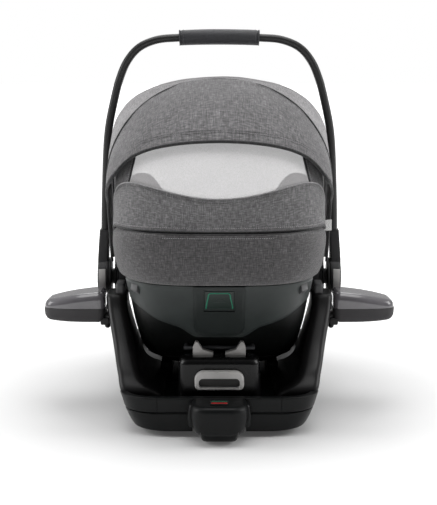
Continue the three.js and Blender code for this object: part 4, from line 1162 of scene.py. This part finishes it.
def make_cover():
    angles = lap(160)[:-1]
    steps = np.linspace(0, TOP, 44)
    rim = np.linspace(0, np.pi, 9)[1:-1]
    panel = np.abs(np.sin(np.arange(len(angles)) / len(angles) * 2 * np.pi * 13)) ** 0.35
    inner = []
    for level in steps:
        row = 0.5 + 0.5 * abs(math.sin((level - 4) * 2 * math.pi)) ** 0.4
        puff = 2.4 * smoothstep(level, 4.0, 4.3) * (panel - 0.6) * row
        inner.append(bowl(level, angles, 30 + puff))
    over = [bowl(TOP, angles, 16 - 14.5 * math.cos(t), 1 + 5.5 * math.sin(t)) for t in rim]
    rings = [bowl(level, angles, 16.4) for level in steps] + over + inner[::-1]
    cover = Piece("seat_lining").add(loft(rings), M["lining"])
    around = lap(180)
    for inset, lift, r in ((2.2, 2.2, 1.7), (28.6, 4.2, 1.2)):
        cover.add(tube(bowl(TOP, around, inset, lift), r, 8), M["piping"])
    line = bowl(TOP, around, 23.5, 6.2)
    cover.add(stitches(line, [0, 0, 1]), M["light_thread"])
    cover = place(cover.make(), "carrier", "lining", "seat_cover")


def make_insert():
    obj = Piece("newborn_insert").add(bucket(32, 45.5, 4, 96, 24), M["insert"]).make()
    inflate(obj, 5.5, 4, 4.0)
    at, n = coords(obj), read(obj.data.vertex_normals, "vector")
    inner = smoothstep(n[:, 2] + 0.9 * (n * unit(np.array([0, 0, 300.0]) - at)).sum(1), 0.1, 0.5)
    x, y, z = at.T
    groove = gauss(np.abs(x) - 72, 3.2) * smoothstep(-y, -60, 0)
    for level in (1.3, 2.5, 3.4):
        height = LIE_INSET * (1 - level / TOP) + np.interp(level, range(6), BOWL_LEVELS[:, 3])
        cross = gauss(z - height, 3.2) * smoothstep(-y, 40, 90) * smoothstep(72 - np.abs(x), 0, 4)
        groove = np.maximum(groove, cross)
    set_coords(obj, at - n * (groove * inner * 3.4)[:, None])
    refine(obj)
    place(obj, "carrier", "lining", "infant_insert")


def make_head_support():
    rings = []
    for angle in even_angles(-174.5, -5.5, 90):
        rim = bowl(TOP, angle)
        length = abs(rim[1]) / RIM_LENGTH
        ear = float(smoothstep(abs(rim[0]), 46, 176) * smoothstep(length, 0.16, 0.42))
        height = 12 + 84 * ear
        lean = 44 * float(smoothstep(length, 0.4, 0.9))
        at = lambda inset, lift: bowl(TOP, angle, inset, lift) + [0, lean * (lift / 100) ** 2, 0]
        low = lambda inset: bowl(4, angle, inset, 2.2)
        outer = [at(33 - 9 * ear * q * q, height * q) for q in (0.35, 0.8, 0.97)]
        inner = [at(47 + 6 * ear * q, height * q) for q in (0.95, 0.75, 0.3)]
        rings.append(closed_spline([low(33), at(32.5, 0), *outer, *inner, at(48, 0), low(45)], 30))
    obj = Piece("head_cushion").add(loft(rings), M["insert"]).make()
    inflate(obj, 5.0, 4, 3.0)
    refine(obj)
    place(obj, "carrier", "lining", "head_support")


# The newborn insert's inside, which the straps lie on
STEPS = [0, 0.5, 1.2, 2, 3, 4, 5]
LIE_INSET, LIE_FLOOR_Z = 48, 128


def lie_head(level, above, x):
    """A point above the insert at the head end."""
    rows = bowl(np.array(STEPS), -np.pi / 2, LIE_INSET + above)
    return np.array([x, np.interp(level, STEPS, rows[:, 1]), np.interp(level, STEPS, rows[:, 2])])


def laid(rows, count):
    """A smooth path through rows, and the direction away from what it lies on."""
    path = spline(rows, np.linspace(0, len(rows) - 1, count))
    way = unit(np.gradient(path, axis=0))
    return path, unit(np.stack([0 * way[:, 0], -way[:, 2], way[:, 1]], 1))


def strap(path, width, thick):
    """The middle surface of a flat strap on a path, its width along X."""
    path, up = laid(path, 8 * len(path))
    u = np.linspace(-0.5, 0.5, 7)
    mid = path[:, None] + np.array([1.0, 0, 0]) * (u * width)[:, None] + up[:, None] * thick / 2
    return mid[:, ::-1], up


def make_harness():
    for name, s in SIDES.items():
        path = [lie_head(level, 2.4, s * (20 + 7 * level)) for level in (3.35, 2.9, 2.4, 1.9, 1.4, 1, 0.6, 0.2)]
        path += [[s * x, y, LIE_FLOOR_Z + up] for x, y, up in ((17, -50, 1.5), (14, -10, 4), (12.5, 21.6, 8))]
        mid, up = strap(path, 24, 2)
        belt = Piece(f"harness_strap_{name}").add(sheet(mid, 1.6), M["webbing"])
        for side in (1, -2):
            belt.add(stitches(mid[:, side] + up * 0.85, up, 4.5, 3.0, 0.3), M["piping"])
        belt = place(belt.make(), "carrier", "webbing", f"shoulder_strap_{name}")

        path = [lie_head(level, 8.8, s * (21 + 6.7 * level)) for level in (3.3, 3, 2.6, 2.2, 1.8, 1.5)]
        path, up = laid(path, 30)
        rings = []
        for p, n, q in zip(path, up, np.linspace(-1, 1, 30)):
            end = 1 - 0.35 * smoothstep(abs(q), 0.82, 1) ** 2
            ab = rounded(-16 * end, 16 * end, -2.6 * end, 2.6 * end, 2.4)
            rings.append(p + np.outer(ab[:, 0], [1, 0, 0]) + np.outer(ab[:, 1], n))
        pad = Piece(f"harness_pad_{name}").add(loft(rings), M["pad"]).make()
        inflate(pad, 2.6, 5, 1.6, 14)
        refine(pad)
        place(pad, "carrier", "lining", f"shoulder_pad_{name}")

    path = np.array([[0, 70.4, LIE_FLOOR_Z + 6], [0, 84, LIE_FLOOR_Z + 3], [0, 104, LIE_FLOOR_Z + 1.4]])
    mid, up = strap(path, 30, 2)
    crotch = Piece("harness_crotch").add(sheet(mid, 1.6), M["webbing"])
    crotch = place(crotch.make(), "carrier", "webbing", "crotch_strap")


def make_tag():
    u, v = np.meshgrid(np.linspace(-7, 7, 8), np.linspace(0, 1, 10), indexing="ij")
    mid = np.stack([182.7 + 0.9 * u, -186 + 1.2 * np.sin(v * np.pi) + 0.1 * u, 344 - 18 * v + 0.06 * u], -1)
    tag = Piece("blank_tag").add(sheet(mid, 0.5), M["label"])
    tag = fold(tag.make(), "care_tag")


# ---- CAD nodes whose shape stays ----
def keep_cad():
    both = lambda name: [f"{name}_right", f"{name}_left"]
    bows = ["canopy_bow_mid", "canopy_bow_front"]
    table = {
        "foam": (["foam_liner"], 0),
        "hub": (["buckle_body", "adjuster_housing", *bows, *both("hub_base"), *both("hub_housing")], 0.9),
        "grey": (["latch_hooks", "adjuster_button", "leg_button"], 0.9),
        "cup": (both("hub_button"), 0.9),
        "dark_grey": (both("belt_guide"), 0.9),
        "red": (["buckle_button", *both("isofix_button")], 0.8),
        "steel": (both("isofix_arm"), 0.7),
        "leg": (["latch_bar", "leg_inner"], 1.2),
    }
    for key, (names, bevel) in table.items():
        for name in names:
            obj = NODES[name]
            if not obj.data.materials:
                obj.data.materials.append(M[key])
            for slot in obj.material_slots:
                slot.material = M[key]
            obj.data.polygons.foreach_set("use_smooth", [True] * len(obj.data.polygons))
            weld = obj.modifiers.new("weld", "WELD")
            weld.merge_threshold = 0.00005
            if bevel:
                mod = obj.modifiers.new("edges", "BEVEL")
                mod.width, mod.segments, mod.limit_method = bevel / 1000, 3, "ANGLE"
                mod.angle_limit, mod.harden_normals = math.radians(38), True


# ---- Floor, light and camera ----
def make_stage():
    n = Nodes("floor", 0.9)
    n.shader.inputs["Emission Color"].default_value = (1, 1, 1, 1)
    far = n.add("VectorMath", {0: n.add("TexCoord").outputs["Object"]}, operation="LENGTH").outputs["Value"]
    glow = n.spread(far, 0.3, 1.6, 0.05, 1.0)
    n.tree.links.new(glow, n.shader.inputs["Emission Strength"])
    n.end(n.ramp(n.noise(n.space(False), 3, 2), (0.3, (0.71,) * 3), (0.7, (0.74,) * 3)))
    mesh = bpy.data.meshes.new("floor")
    corners = [(14 * x, 14 * y, -0.0005) for x, y in ((-1, -1), (1, -1), (1, 1), (-1, 1))]
    mesh.from_pydata(corners, [], [(0, 1, 2, 3)])
    mesh.materials.append(n.mat)
    linked("floor", mesh)

    # To the camera the world is white. To the object it is brighter above and darker in front.
    world = bpy.data.worlds.new("studio")
    bpy.context.scene.world = world
    world.use_nodes = True
    n = Nodes(tree=world.node_tree)
    back = n.tree.nodes["Background"].inputs
    back["Color"].default_value = (1, 1, 1, 1)
    way = n.add("SeparateXYZ", {0: n.add("TexCoord").outputs["Generated"]}).outputs
    up = n.spread(way["Z"], -0.1, 0.9, 0.3, 0.75)
    front = n.spread(way["Y"], -0.95, 0.0, 0.1, 1.0)
    seen = n.add("LightPath").outputs["Is Camera Ray"]
    light = n.add("Mix", {"Factor": seen, "A": n.math("MULTIPLY", up, front), "B": 1.0})
    n.tree.links.new(light.outputs["Result"], back["Strength"])

    for *at, size, power in (
        (0, -0.1, 2.5, 1.9, 36), (-2.2, -0.15, 1.1, 1.2, 19), (2.2, -0.05, 1.2, 1.2, 19), (0, 2.0, 1.9, 1.6, 14),
    ):
        lamp = bpy.data.lights.new("softbox", "AREA")
        lamp.shape, lamp.size, lamp.energy = "SQUARE", size, power
        aim(linked("softbox", lamp), at, (0, 0, 0.3))

    lens = bpy.data.cameras.new("camera")
    lens.lens, lens.sensor_width, lens.sensor_fit = 101.87, 36, "AUTO"
    lens.shift_x = -0.0016
    camera = linked("camera", lens)
    aim(camera, (0, -2.568, 0.6657), (0, 0, 0.259))
    bpy.context.scene.camera = camera
    bpy.context.scene.view_settings.view_transform = "Standard"


for make in (
    make_hood, make_visor, make_panels, make_tag, make_skirt, make_shell, make_apron, make_release, make_handle,
    make_base, make_nose, make_dock, make_leg, make_arms, make_cover, make_insert, make_head_support, make_harness,
    keep_cad, make_stage,
):
    make()
